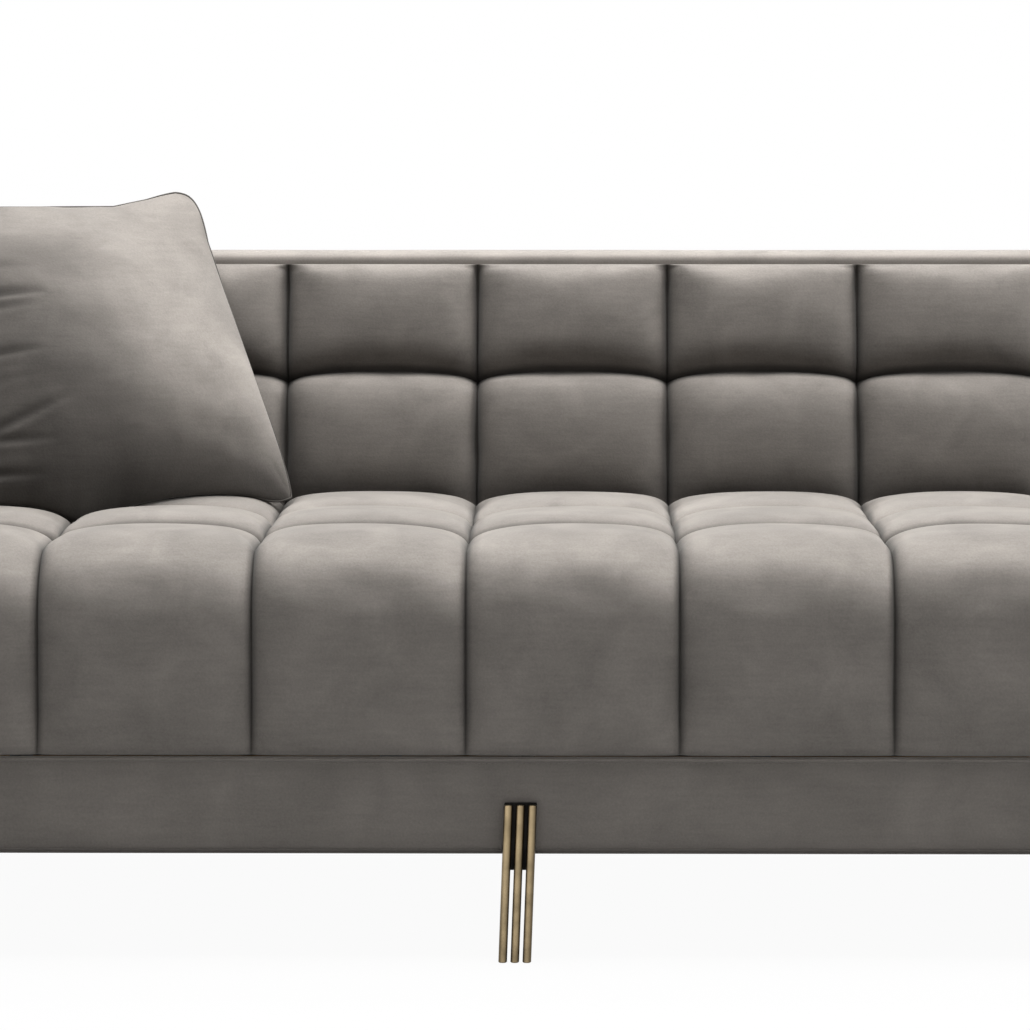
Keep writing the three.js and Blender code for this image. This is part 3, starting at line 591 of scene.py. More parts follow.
def tufted_pad(given):
    """Points and faces of a tufted pad lying flat, its plain side on z = 0, with marks at its points."""
    pad = {**PLAIN_PAD, **given}
    columns, rows = np.array(pad["columns"]), np.array(pad["rows"])
    height, top_radius = pad["height"], pad["top_radius"]
    left, right, front, rear = pad["radii"]
    free_left, free_right, free_front, free_rear = pad["free"]
    straight = height - top_radius
    xs = seam_lines(columns, COLUMN_LINES, left, right, free_left, free_right)
    ys = seam_lines(rows, ROW_LINES, front, rear, free_front, free_rear)
    side_lines = SIDE_LINES if free_front or free_right else FEW_SIDE_LINES
    zs = [share * straight for share in side_lines] + [straight + share * top_radius for share in ARC]
    points, faces = grid_block(xs, ys, np.array(zs))

    in_low = np.array([columns[0] + left, rows[0] + front, 0.0])
    in_high = np.array([columns[-1] - right, rows[-1] - rear, straight])
    near = np.clip(points, in_low, in_high)
    away = points - near
    radii = np.stack([
        np.where(away[:, 0] < 0, left, right), np.where(away[:, 1] < 0, front, rear),
        np.full(len(points), top_radius)], axis=1)
    away = away / radii
    length = np.linalg.norm(away, axis=1)
    under = points[:, 2] < TINY
    unit = away / np.maximum(length, TINY)[:, None]
    surface = np.where(under[:, None], points, near + unit * radii)
    outward = unit / radii
    outward /= np.maximum(np.linalg.norm(outward, axis=1), TINY)[:, None]
    weight = np.where(under, np.clip(length, 0, 1), 1.0)
    weight[length < TINY] = 0

    column, across = across_block(surface[:, 0], columns)
    row, along = across_block(surface[:, 1], rows)
    facing = np.abs(outward[:, 2])
    column_draw = nearer_seam(pad["column_draws"], column, across)
    row_draw = nearer_seam(pad["row_draws"], row, along)
    seam_x = nearer_seam(columns, column, across)
    seam_y = nearer_seam(rows, row, along)

    fullness = pad["side_fullness"] + (pad["top_fullness"] - pad["side_fullness"]) * facing
    fullness = fullness * (1 + np.array(pad["skews"])[column] * np.sign(across) * facing)
    fullness = fullness * (1 - 0.3 * np.abs(along) ** 8 * facing)
    end_gain = 1 + (pad["end_gain"] - 1) * np.abs(outward[:, 0])
    near_rear = np.clip((surface[:, 1] - rows[-1]) / pad["rear_reach"] + 1, 0, 1)
    from_columns = seam_pull(across, fullness) * column_draw * (1 - pad["rear_hold"] * near_rear)
    from_rows = seam_pull(along, pad["row_fullness"]) * row_draw * end_gain
    from_rows += pad["row_dip"] * np.abs(across) ** 2.2 * np.abs(along) ** 6 * facing * (row_draw > 0)
    draw = (from_columns ** SEAM_BLEND + np.maximum(from_rows, 0) ** SEAM_BLEND) ** (1 / SEAM_BLEND)
    tuft = np.hypot(surface[:, 0] - seam_x, surface[:, 1] - seam_y)
    draw += pad["pit"] * bell(tuft, 0, PIT_REACH) * facing * (row_draw > 0) * (column_draw > 0)
    draw = np.minimum(draw, DEEPEST * height)
    draw *= 0.3 + 0.7 * np.clip(points[:, 2] / (straight * 0.35), 0, 1)
    if pad["tuck"]:
        tucked, tuck_height, roll = pad["tuck"]
        side = np.hypot(outward[:, 0], outward[:, 1])
        draw += tucked * np.clip(1 - points[:, 2] / tuck_height, 0, 1) ** 2 * side
        draw += roll * np.clip(1 - points[:, 2] / (2 * roll), 0, 1) ** 2 * side

    lift = pad["crown"] * (1 - across ** 2) * (1 - along ** 2) * facing
    lift += np.array(pad["row_lifts"])[row] * (1 - along ** 4) * facing
    wave = np.array([noise.noise(Vector(point) * UNEVEN_SCALE + Vector(pad["seed"])) for point in surface])
    lift += pad["unevenness"] * wave * (1 - np.abs(across) ** 6)
    key = column * 3.1 + row * 5.7 + (across > 0) * 1.9 + (along > 0) * 4.3
    lift += pad["pucker"] * pucker(surface, seam_x, seam_y, height, key)

    move = outward * ((lift - draw) * weight)[:, None]
    for axis, side, free in ((0, -1, free_left), (0, 1, free_right), (1, -1, free_front), (1, 1, free_rear)):
        if not free:
            move[away[:, axis] * side > 0, axis] = 0
    placed = surface + move
    foot = bell(surface[:, 1], rows[0], FOOT_REACH) * (row == 0)
    placed[:, 1] -= pad["foot_drop"] * np.abs(across) ** 4 * foot
    for seam in rows[1:-1]:
        near_seam = bell(placed[:, 1], seam, ARCH_REACH)
        placed[:, 1] += pad["row_arch"] * (1 - np.abs(across) ** 2.2) * near_seam * facing

    # Painted shade along the column seams and in the row creases, kept among the marks
    column_gap = np.where(column_draw > LEAST_SEAM, np.abs(surface[:, 0] - seam_x), 1)
    row_gap = np.where((row_draw > LEAST_SEAM) & (facing >= 0.2), np.abs(surface[:, 1] - seam_y), 1)
    depth = nearer_seam(pad["crease_shade_strength"], row, along)
    painted_shade = np.maximum(bell(column_gap, 0, SEAM_SHADE_WIDTH), depth * np.exp(-(row_gap / pad["crease_shade"]) ** 3))
    pinned = under | (np.abs(across) > SEWN) | (np.abs(along) > SEWN)
    return placed, faces, {"pinned": pinned, "painted_shade": painted_shade, "row": row}


def pucker(surface, seam_x, seam_y, height, key):
    """Small folds that run out from each tuft point into the blocks beside it, up to about 1."""
    dx = np.abs(surface[:, 0] - seam_x)
    dy = np.abs(surface[:, 1] - seam_y) + (height - surface[:, 2])
    reach = np.hypot(dx, dy)
    folds = np.cos(np.arctan2(dy, dx) * (7 + 2 * np.sin(key * 2.3)) + key * 9.1)
    strength = 0.55 + 0.45 * np.sin(key * 12.7)
    return strength * folds * np.minimum(reach / PIT_REACH, 1) * np.exp(-(reach / 0.045) ** 1.5)


CLOTH = {
    "quality": 6, "mass": 0.25, "tension_stiffness": 18, "compression_stiffness": 18, "shear_stiffness": 8,
    "bending_stiffness": 0.6, "use_pressure": True}
CLOTH_STEPS = 20
PAD_PRESSURE = 1.2
PAD_SLACK = 0.006


def settle_fabric(piece, pinned, cap, pressure, slack):
    """Lets a cover settle as cloth over its filling, with its seams held, and keeps it near its pattern."""
    start = read_vectors(piece.data.vertices, "co")
    group = piece.vertex_groups.new(name="Sewn")
    group.add([int(i) for i in np.nonzero(pinned)[0]], 1.0, "REPLACE")
    modifier = piece.modifiers.new("Fabric", "CLOTH")
    settings = modifier.settings
    for key, value in CLOTH.items():
        setattr(settings, key, value)
    settings.uniform_pressure_force = pressure
    settings.shrink_min = -slack
    settings.vertex_group_mass = group.name
    settings.effector_weights.gravity = 0
    modifier.collision_settings.use_collision = False
    scene = bpy.context.scene
    for step in range(1, CLOTH_STEPS + 1):
        scene.frame_set(step)
    evaluated = piece.evaluated_get(bpy.context.evaluated_depsgraph_get())
    ended = read_vectors(evaluated.to_mesh().vertices, "co")
    evaluated.to_mesh_clear()
    piece.modifiers.remove(modifier)
    piece.vertex_groups.remove(group)
    scene.frame_set(1)
    move = ended - start
    far = np.maximum(np.linalg.norm(move, axis=1), TINY)
    move *= (cap * np.tanh(far / cap) / far)[:, None]
    move_points(piece, start + move)


# Operators: one for each piece or group of like pieces

class RecamierStep(bpy.types.Operator):
    """A step that makes one piece or group of like pieces"""

    bl_options = {"REGISTER"}

    def make(self, scene):
        """Makes the piece."""
        raise NotImplementedError

    def execute(self, context):
        """Makes the piece in the open scene."""
        self.make(context.scene)
        return {"FINISHED"}


class RECAMIER_OT_finishes(RecamierStep):
    """Make the velvet, cloth, brass, steel, wood and foam"""

    bl_idname = "recamier.finishes"
    bl_label = "Finishes"

    def make(self, scene):
        colours = scene.recamier_colours
        nap, weave, patina = make_nap_group(), make_weave_group(), make_patina_group()
        # One velvet in four copies: the panel copy is painted a little darker and the cushion copy darker
        # still, as shade
        make_velvet("velvet_tufted", colours, nap, 1.0, 15.0, 0.34)
        make_velvet("velvet_panel", colours, nap, 0.94, 12.0, 0.30)
        make_velvet("velvet_piping", colours, nap, 1.0, 30.0, 0.12)
        make_velvet("velvet_cushion", colours, nap, 0.90, 14.0, 0.34)
        make_woven("black_cloth", weave, (0.020, 0.020, 0.021), (0.012, 0.012, 0.013), 900.0)
        make_woven("thread", weave, (0.20, 0.185, 0.165), (0.16, 0.148, 0.132), 1500.0)
        make_metal("antique_brass", patina, colours.brass, dimmed(colours.brass, 0.55), 0.24, 0.40, True)
        make_metal("black_steel", patina, colours.steel, (0.004, 0.004, 0.004, 1), 0.40, 0.60)
        make_metal("spring_steel", patina, (0.33, 0.33, 0.34, 1), (0.16, 0.15, 0.14, 1), 0.25, 0.45)
        make_wood("hardwood_lengthwise", colours, (2.5, 70.0, 70.0))
        make_wood("hardwood_crosswise", colours, (70.0, 2.5, 70.0))
        make_wood("hardwood_upright", colours, (70.0, 70.0, 2.5))
        make_foam("foam")


def even_seams(start, pitch, count, end):
    """Seams at an even pitch from a start, the last one at the cover's end."""
    return [start + pitch * step for step in range(count)] + [end]


def cover_pad(name, node, placed, faces, marks, cap, fill, **light_settings):
    """Makes a tufted cover, lets it settle and gives it its velvet."""
    piece = add_mesh(name, placed, faces, "velvet_tufted")
    settle_fabric(piece, marks["pinned"], cap, PAD_PRESSURE, PAD_SLACK)
    soften(piece)
    dress(piece, MAIN_BODY, "velvet_tufted", [node])
    # Painted light and shade on the cover, with painted shade along its seams and creases
    paint_velvet_light(piece, 0.34, marks["painted_shade"], **light_settings)


class RECAMIER_OT_tufted_seat(RecamierStep):
    """Make the seat's tufted velvet cover"""

    bl_idname = "recamier.tufted_seat"
    bl_label = "Tufted seat"

    def make(self, scene):
        sizes = scene.recamier_tufting
        first_row = PLINTH_FACE + sizes.front_row
        points, faces, marks = tufted_pad({
            "columns": even_seams(SEAT_LOW.x, sizes.column_pitch, COLUMNS, SEAT_HIGH.x),
            "rows": [SEAT_LOW.y, first_row, first_row + sizes.middle_row, SEAT_HIGH.y],
            "height": SEAT_HIGH.z - SEAT_LOW.z, "top_radius": 0.102,
            "radii": (0.012, 0.090, 0.090, 0.025), "free": (False, True, True, False),
            "column_draws": [sizes.seat_seam] * COLUMNS + [0],
            "row_draws": [0, sizes.seat_row_seam, sizes.seat_row_seam, 0.004],
            "rear_hold": 0.45, "rear_reach": 0.06, "crease_shade": 0.017, "crease_shade_strength": (0, 0.95, 0.45, 0),
            "end_gain": 1.4, "top_fullness": 3.0, "side_fullness": 7.0, "row_fullness": 3.0, "row_dip": 0.017,
            "skews": [0, 0.1, -0.12, 0.16, 0.1, 0.14, 0], "tuck": (0.005, 0.080, 0.003),
            "row_lifts": (-0.004, 0, 0.001), "unevenness": sizes.unevenness, "pucker": sizes.pucker,
            "seed": (3.1, 7.7, 1.3)})
        points[:, 2] += SEAT_LOW.z
        cover_pad("seat_tufting", "seat_tufted_cover", points, faces, marks, 0.0035, 0.9, crest=0.70)


class RECAMIER_OT_tufted_back(RecamierStep):
    """Make the back's tufted velvet pad"""

    bl_idname = "recamier.tufted_back"
    bl_label = "Tufted back"

    def make(self, scene):
        sizes = scene.recamier_tufting
        points, faces, marks = tufted_pad({
            "columns": even_seams(BACK_LOW.x, sizes.column_pitch, COLUMNS, BACK_HIGH.x),
            "rows": [-sizes.upper_row - sizes.lower_row, -sizes.upper_row, 0],
            "height": 0.056, "top_radius": 0.015,
            "radii": (0.015, 0.030, 0.015, 0.015), "free": (False, True, False, False),
            "column_draws": [sizes.back_seam] * COLUMNS + [0],
            "row_draws": [0.026, sizes.back_row_seam, 0.006],
            "end_gain": 1.0, "top_fullness": 6.5, "side_fullness": 8.0, "row_fullness": 2.2,
            "skews": [0, 0.1, 0.12, -0.1, 0.12, 0.05, 0], "crown": 0.005,
            "rear_hold": 0.55, "rear_reach": 0.022,
            "pit": 0.010, "foot_drop": 0.010, "crease_shade": 0.0045, "crease_shade_strength": (0, 0.9, 0),
            "row_arch": sizes.row_arch, "unevenness": sizes.unevenness, "pucker": sizes.pucker,
            "seed": (9.4, 2.2, 5.8)})
        cos, sin = math.cos(RECLINE), math.sin(RECLINE)
        placed = np.stack([
            points[:, 0],
            SHELL_LOW.y - CONTACT + points[:, 1] * sin - points[:, 2] * cos,
            SHELL_HIGH.z - PAD_BELOW_TOP + points[:, 1] * cos + points[:, 2] * sin], axis=1)
        # The lower row is painted darker than the upper row, as shade
        cover_pad("back_tufting", "back_tufted_pad", placed, faces, marks, 0.0025, 0.85,
                  combed=np.where(marks["row"] == 0, 0.13, 0.03), crest=0.30)


class RECAMIER_OT_tufted_arm(RecamierStep):
    """Make the arm's tufted velvet pad"""

    bl_idname = "recamier.tufted_arm"
    bl_label = "Tufted arm"

    def make(self, scene):
        sizes = scene.recamier_tufting
        low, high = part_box("arm_tufted_pad")
        inner = PLINTH_FACE + 0.0053
        first_row = PLINTH_FACE + sizes.front_row
        points, faces, marks = tufted_pad({
            "columns": [inner, first_row, first_row + sizes.middle_row, SEAT_HIGH.y],
            "rows": [low.z - high.z, -sizes.upper_row - sizes.lower_row, -sizes.upper_row, 0],
            "height": high.x - low.x, "top_radius": 0.015,
            "radii": (0.015, 0.015, 0.015, 0.015), "free": (False, False, False, False),
            "column_draws": [0.004, 0.028, 0.028, 0], "row_draws": [0.011, 0.020, 0.020, 0.010],
            "end_gain": 1.0, "top_fullness": 6.5, "side_fullness": 8.0, "row_fullness": 2.2,
            "row_arch": sizes.row_arch, "unevenness": sizes.unevenness, "pucker": sizes.pucker,
            "pit": 0.006, "crease_shade": 0.0045, "crease_shade_strength": (0, 0.9, 0.9, 0), "seed": (1.9, 6.1, 8.3)})
        share = (points[:, 0] - inner) / (SEAT_HIGH.y - inner)
        below = high.z + points[:, 1] - (SHELL_HIGH.z - PAD_BELOW_TOP)
        plane = SHELL_LOW.y - CONTACT + below * math.tan(RECLINE)
        along = points[:, 0] + share * (plane - CONTACT - SEAT_HIGH.y)
        placed = np.stack([low.x + points[:, 2], along, high.z + points[:, 1]], axis=1)
        cover_pad("arm_tufting", "arm_tufted_pad", placed, faces, marks, 0.0035, 0.85, crest=0.30)


# Plain covers

PANEL_EDGE = 0.0013
PANEL_PUFF = 0.0007
TOP_ROUND = 0.012
CORNER_ROUND = 0.005
RIPPLE_SCALE = 9


def closed_edges(count):
    """The edges of a closed line."""
    return [(number, (number + 1) % count) for number in range(count)]


def rounded_rectangle(low, high, radius, corner_steps=5, spacing=0.03):
    """Points and outward directions round a rectangle with rounded corners, counter-clockwise from above."""
    points, outward = [], []
    corners = [(high[0], low[1], -90), (high[0], high[1], 0), (low[0], high[1], 90), (low[0], low[1], 180)]

    def centre_of(x, y):
        return (x - math.copysign(radius, x - (low[0] + high[0]) / 2),
                y - math.copysign(radius, y - (low[1] + high[1]) / 2))

    for number, (x, y, start) in enumerate(corners):
        cx, cy = centre_of(x, y)
        for step in range(corner_steps + 1):
            angle = math.radians(start + 90 * step / corner_steps)
            direction = (math.cos(angle), math.sin(angle))
            points.append((cx + radius * direction[0], cy + radius * direction[1]))
            outward.append(direction)
        end = centre_of(*corners[(number + 1) % 4][:2])
        last = points[-1]
        target = (end[0] if abs(direction[1]) > 0.5 else last[0],
                  end[1] if abs(direction[0]) > 0.5 else last[1])
        length = math.hypot(target[0] - last[0], target[1] - last[1])
        steps = max(1, int(length / spacing))
        for step in range(1, steps):
            points.append((last[0] + (target[0] - last[0]) * step / steps,
                           last[1] + (target[1] - last[1]) * step / steps))
            outward.append(direction)
    return points, outward


def ring_line(low, high, inset, height, radius=0.005, corner_steps=6, spacing=0.02):
    """Points and edges of a closed level line round a box, inset from its sides."""
    path, _ = rounded_rectangle(
        (low.x + inset, low.y + inset), (high.x - inset, high.y - inset), radius, corner_steps, spacing)
    return [(x, y, height) for x, y in path], closed_edges(len(path))


def arc(centre, radius, start, end, steps=4):
    """Points on an arc, its angles in degrees."""
    angles = [math.radians(start + (end - start) * step / steps) for step in range(steps + 1)]
    return [(centre[0] + radius * math.cos(angle), centre[1] + radius * math.sin(angle)) for angle in angles]


def rear_at(height):
    """Where the leaning rear face is at a height."""
    rise = (height - SHELL_LOW.z) / (SHELL_HIGH.z - SHELL_LOW.z)
    return PLINTH_FACE + PLINTH_DEPTH + (SHELL_HIGH.y - (PLINTH_FACE + PLINTH_DEPTH)) * rise


def sweep_ring(path, outward, profile, ripple):
    """A closed profile of (outward, height) points carried round a closed path."""
    points, faces = [], []
    count, sides = len(path), len(profile)
    for (x, y), (ox, oy) in zip(path, outward):
        for offset, height in profile:
            wave = 0.0
            if offset > -0.002:
                wave = ripple * noise.noise(Vector((x * RIPPLE_SCALE, y * RIPPLE_SCALE, height * 14)))
            points.append((x + ox * (offset + wave), y + oy * (offset + wave), height))
    for number in range(count):
        here, following = number * sides, (number + 1) % count * sides
        for side, after in closed_edges(sides):
            faces.append((here + side, following + side, following + after, here + after))
    return points, faces


def sweep_along(profile, starts, ripple):
    """A closed profile of (depth, height) points carried along X, with flat ends."""
    points, faces = [], []
    sides = len(profile)
    for x in starts:
        for depth, height in profile:
            wave = ripple * noise.noise(Vector((
                x * RIPPLE_SCALE, depth * RIPPLE_SCALE, height * RIPPLE_SCALE)))
            points.append((x, depth + wave, height + wave * 0.5))
    for number in range(len(starts) - 1):
        here, following = number * sides, (number + 1) * sides
        for side, after in closed_edges(sides):
            faces.append((here + side, here + after, following + after, following + side))
    faces.append(tuple(reversed(range(sides))))
    faces.append(tuple(range((len(starts) - 1) * sides, len(starts) * sides)))
    return points, faces


def add_closed_mesh(name, points, faces):
    """A plain velvet cover with its faces turned outwards."""
    piece = add_mesh(name, points, faces, "velvet_panel")
    edit = bmesh.new()
    edit.from_mesh(piece.data)
    bmesh.ops.recalc_face_normals(edit, faces=edit.faces)
    edit.to_mesh(piece.data)
    edit.free()
    return piece


def inward_steps(outline):
    """The outline's points with the direction that moves each of them evenly inwards."""
    points = np.array(outline)
    if np.sum(points[:, 0] * np.roll(points[:, 1], -1) - points[:, 1] * np.roll(points[:, 0], -1)) < 0:
        points = points[::-1]
    ahead = np.roll(points, -1, axis=0) - points
    ahead /= np.linalg.norm(ahead, axis=1)[:, None]
    after = np.stack([-ahead[:, 1], ahead[:, 0]], axis=1)
    before = np.roll(after, 1, axis=0)
    return points, (before + after) / (1 + np.sum(before * after, axis=1))[:, None]


def cover_panel(name, node, outline, axis):
    """A thin covered panel: an outline carried along an axis, with rounded edges and full faces."""
    box_low, box_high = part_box(node)
    low, high = (box_low.x, box_high.x) if axis == "x" else (box_low.y, box_high.y)
    points, inwards = inward_steps(outline)
    half = [(0.0042, 0), (0.0022, PANEL_PUFF * 0.3), (PANEL_EDGE * 0.75, PANEL_PUFF),
            (PANEL_EDGE * 0.25, PANEL_PUFF + PANEL_EDGE * 0.4), (0, PANEL_PUFF + PANEL_EDGE)]
    rings = [(inset, low + rise) for inset, rise in half]
    rings += [(inset, high - rise) for inset, rise in reversed(half)]
    places, faces = [], []
    for inset, along in rings:
        for first, second in points + inwards * inset:
            places.append((along, first, second) if axis == "x" else (first, along, second))
    count = len(points)
    for ring in range(len(rings) - 1):
        for side, after in closed_edges(count):
            faces.append((ring * count + side, ring * count + after,
                          (ring + 1) * count + after, (ring + 1) * count + side))
    faces.append(tuple(reversed(range(count))))
    faces.append(tuple(range((len(rings) - 1) * count, len(rings) * count)))
    piece = add_closed_mesh(name, places, faces)
    dress(piece, MAIN_BODY, "velvet_panel", [node])


class RECAMIER_OT_plinth(RecamierStep):
    """Make the fabric cover round the plinth"""

    bl_idname = "recamier.plinth"
    bl_label = "Plinth cover"

    def make(self, scene):
        low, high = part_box("plinth_front_cover")
        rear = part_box("plinth_rear_cover")[1]
        path, outward = rounded_rectangle((low.x, low.y), (high.x, rear.y), 0.006)
        bottom, top = low.z, high.z
        thick = 0.0049
        profile = [
            (-thick, bottom), (-0.0016, bottom), (-0.0007, bottom + 0.0006), (-0.0012, bottom + 0.0032),
            (-0.0005, bottom + 0.0058), (0, bottom + 0.0085), (0.0003, bottom + 0.022),
            (0.0005, bottom + 0.045), (0.0004, top - 0.030), (0.0001, top - 0.012),
            (-0.0006, top - 0.0072), (-0.0014, top - 0.0042), (-0.0006, top - 0.0012),
            (-0.0016, top - 0.0001), (-thick, top - 0.0001), (-thick, (top + bottom) / 2)]
        piece = add_closed_mesh("plinth_cover", *sweep_ring(path, outward, profile, 0.0006))
        soften(piece)
        dress(piece, MAIN_BODY, "velvet_panel", [
            "plinth_front_cover", "plinth_rear_cover", "plinth_left_cover", "plinth_right_cover"])


class RECAMIER_OT_shell(RecamierStep):
    """Make the plain covers of the back, its end and the arm"""

    bl_idname = "recamier.shell"
    bl_label = "Back and arm covers"

    def make(self, scene):
        top = SHELL_HIGH.z
        lip = SHELL_LOW.y
        top_rear = arc((SHELL_HIGH.y - TOP_ROUND, top - TOP_ROUND), TOP_ROUND, 0, 90)
        self.make_back(top, lip, top_rear)

        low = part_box("back_end_panel")[0]
        pad_top = top - PAD_BELOW_TOP
        step_down = pad_top - PAD_HEIGHT * math.cos(RECLINE)
        outline = [(low.y, low.z), (rear_at(low.z), low.z), *top_rear]
        outline += arc((lip + CORNER_ROUND, top - CORNER_ROUND), CORNER_ROUND, 90, 180)
        outline += [(lip, pad_top), (lip - (pad_top - step_down) * math.tan(RECLINE), step_down),
                    (low.y, step_down)]
        cover_panel("back_end_cover", "back_end_panel", outline, "x")

        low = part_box("arm_outer_panel")[0]
        outline = [(PLINTH_FACE, low.z), (rear_at(low.z), low.z), *top_rear]
        outline += arc((PLINTH_FACE + CORNER_ROUND, top - CORNER_ROUND), CORNER_ROUND, 90, 180)
        cover_panel("arm_outer_cover", "arm_outer_panel", outline, "x")

        low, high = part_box("arm_front_panel")
        outline = [(low.x, low.z), (high.x, low.z)]
        outline += arc((high.x - 0.024, high.z - 0.024), 0.024, 0, 90, 6)
        outline += arc((low.x + 0.003, high.z - 0.003), 0.003, 90, 180)
        cover_panel("arm_front_cover", "arm_front_panel", outline, "y")
        self.make_arm_top()

    def make_back(self, top, lip, top_rear):
        """The long cover that goes up the rear, over the top and down behind the pad."""
        low, high = SHELL_LOW, SHELL_HIGH
        thick = 0.0038
        profile = [(rear_at(low.z), low.z)]
        profile += [(rear_at(low.z + step * 0.06) + 0.0004, low.z + step * 0.06) for step in range(1, 8)]
        profile += top_rear
        profile += [(high.y - 0.030, top + 0.0008), ((lip + high.y) / 2, top + 0.0012),
                    (lip + 0.022, top + 0.0006)]
        profile += arc((lip + 0.0135, top - 0.0136), 0.0138, 90, 180, 7)
        profile += [
            (lip, top - 0.020), (lip + 0.0008, top - 0.034), (lip + 0.0045, top - 0.034),
            (lip + 0.0050, top - 0.016), (lip + 0.0150, top - 0.005), (high.y - 0.008, top - thick),
            (rear_at(top - 0.03) - thick, top - 0.030), (rear_at(low.z) - thick, low.z)]
        starts = [low.x + (high.x - low.x) * step / 80 for step in range(81)]
        shell = add_closed_mesh("back_cover", *sweep_along(profile, starts, 0.0007))
        dress(shell, MAIN_BODY, "velvet_panel", ["back_shell"])
        # Painted light: the back cover is made lighter all over
        paint_velvet_light(shell, 0.12, -0.3)

    def make_arm_top(self):
        """The cap along the top of the arm, its inner edge over the pad."""
        low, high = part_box("arm_top_cap")
        inner = high.x + 0.006
        profile = [
            (low.x, low.z), (inner - 0.003, low.z), (inner, low.z + 0.003), (inner, high.z - 0.004),
            (inner - 0.004, high.z), ((low.x + high.x) / 2, high.z + 0.001), (low.x + 0.002, high.z),
            (low.x, high.z - 0.002)]
        starts = [low.y + (high.y - low.y) * step / 30 for step in range(31)]
        points, faces = sweep_along(profile, starts, 0.0006)
        cap = add_closed_mesh(
            "arm_top_cover", [(depth, along, height) for along, depth, height in points], faces)
        dress(cap, MAIN_BODY, "velvet_panel", ["arm_top_cap"])


# Geometry node trees

ROD_SIDES = 28
SCREW_SIDES = 20
SCREW_PLACES = ((-0.27, 0.38), (0.27, 0.38), (-0.27, 0.80), (0.27, 0.80))


def geometry_tree(name, floats, ints=()):
    """Starts a geometry node tree with named inputs, and returns it with the outputs of its input node."""
    tree = bpy.data.node_groups.new(name, "GeometryNodeTree")
    kinds = [("Geometry", "Geometry"), *((label, "Float") for label in floats),
             *((label, "Int") for label in ints), ("Material", "Material")]
    for label, kind in kinds:
        tree.interface.new_socket(label, in_out="INPUT", socket_type="NodeSocket" + kind)
    tree.interface.new_socket("Geometry", in_out="OUTPUT", socket_type="NodeSocketGeometry")
    return tree, tree.nodes.new("NodeGroupInput").outputs


def geometry_node(tree, kind, inputs, output=0, **settings):
    """Adds a geometry node and returns one of its outputs."""
    return add_node(tree, "GeometryNode" + kind, inputs, **settings).outputs[output]


def moved(tree, geometry, place):
    """Geometry moved by a vector."""
    return geometry_node(tree, "Transform", {"Geometry": geometry, "Translation": place})


def joined(tree, *parts):
    """Several geometries as one."""
    node = tree.nodes.new("GeometryNodeJoinGeometry")
    for part in parts:
        tree.links.new(part, node.inputs[0])
    return node.outputs[0]


def cone(tree, sides, top, bottom, depth):
    """A short cone or disc with closed ends."""
    return geometry_node(tree, "MeshCone", {
        "Vertices": sides, "Radius Top": top, "Radius Bottom": bottom, "Depth": depth},
        "Mesh", fill_type="NGON")


def realized(tree, geometry):
    """Instances as real geometry."""
    return geometry_node(tree, "RealizeInstances", {"Geometry": geometry})


def end_tree(tree, given, geometry, smooth=True):
    """Ends a tree: real geometry, smooth or flat shading, and its material."""
    shaded = geometry_node(tree, "SetShadeSmooth", {
        "Geometry": realized(tree, geometry), "Shade Smooth": smooth})
    coated = geometry_node(tree, "SetMaterial", {"Geometry": shaded, "Material": given["Material"]})
    add_node(tree, "NodeGroupOutput", {0: coated})
    return tree


def run_tree(name, tree, points, edges, values, attributes=None):
    """Runs a tree on a few points or a line, and returns the result as a plain mesh object."""
    mesh = bpy.data.meshes.new(name + " source")
    mesh.from_pydata([tuple(point) for point in points], edges, [])
    for label, numbers in (attributes or {}).items():
        mesh.attributes.new(label, "FLOAT", "POINT").data.foreach_set("value", numbers)
    source = bpy.data.objects.new(name + " source", mesh)
    bpy.context.scene.collection.objects.link(source)
    modifier = source.modifiers.new("Pieces", "NODES")
    modifier.node_group = tree
    sockets = {item.name: item.identifier for item in tree.interface.items_tree
               if item.item_type == "SOCKET" and item.in_out == "INPUT"}
    for label, value in values.items():
        modifier[sockets[label]] = value
    graph = bpy.context.evaluated_depsgraph_get()
    made = bpy.data.meshes.new_from_object(source.evaluated_get(graph), depsgraph=graph)
    made.name = name
    bpy.data.objects.remove(source)
    if not made.polygons:
        raise RuntimeError(name + " came out empty")
    piece = bpy.data.objects.new(name, made)
    bpy.context.scene.collection.objects.link(piece)
    return piece


def painted_number(tree, name):
    """A value that the source's points carry."""
    return geometry_node(tree, "InputNamedAttribute", {"Name": name}, data_type="FLOAT")


def lean_over(tree, geometry, middle):
    """Slants geometry along X about a middle height, by the slope in its lean attribute."""
    lean = painted_number(tree, "lean")
    place = tree.nodes.new("GeometryNodeInputPosition").outputs[0]
    height = add_node(tree, "ShaderNodeSeparateXYZ", {0: place}).outputs["Z"]
    shift = combined(tree, X=times(tree, minus(tree, height, middle), lean))
    return geometry_node(tree, "SetPosition", {"Geometry": geometry, "Offset": shift})


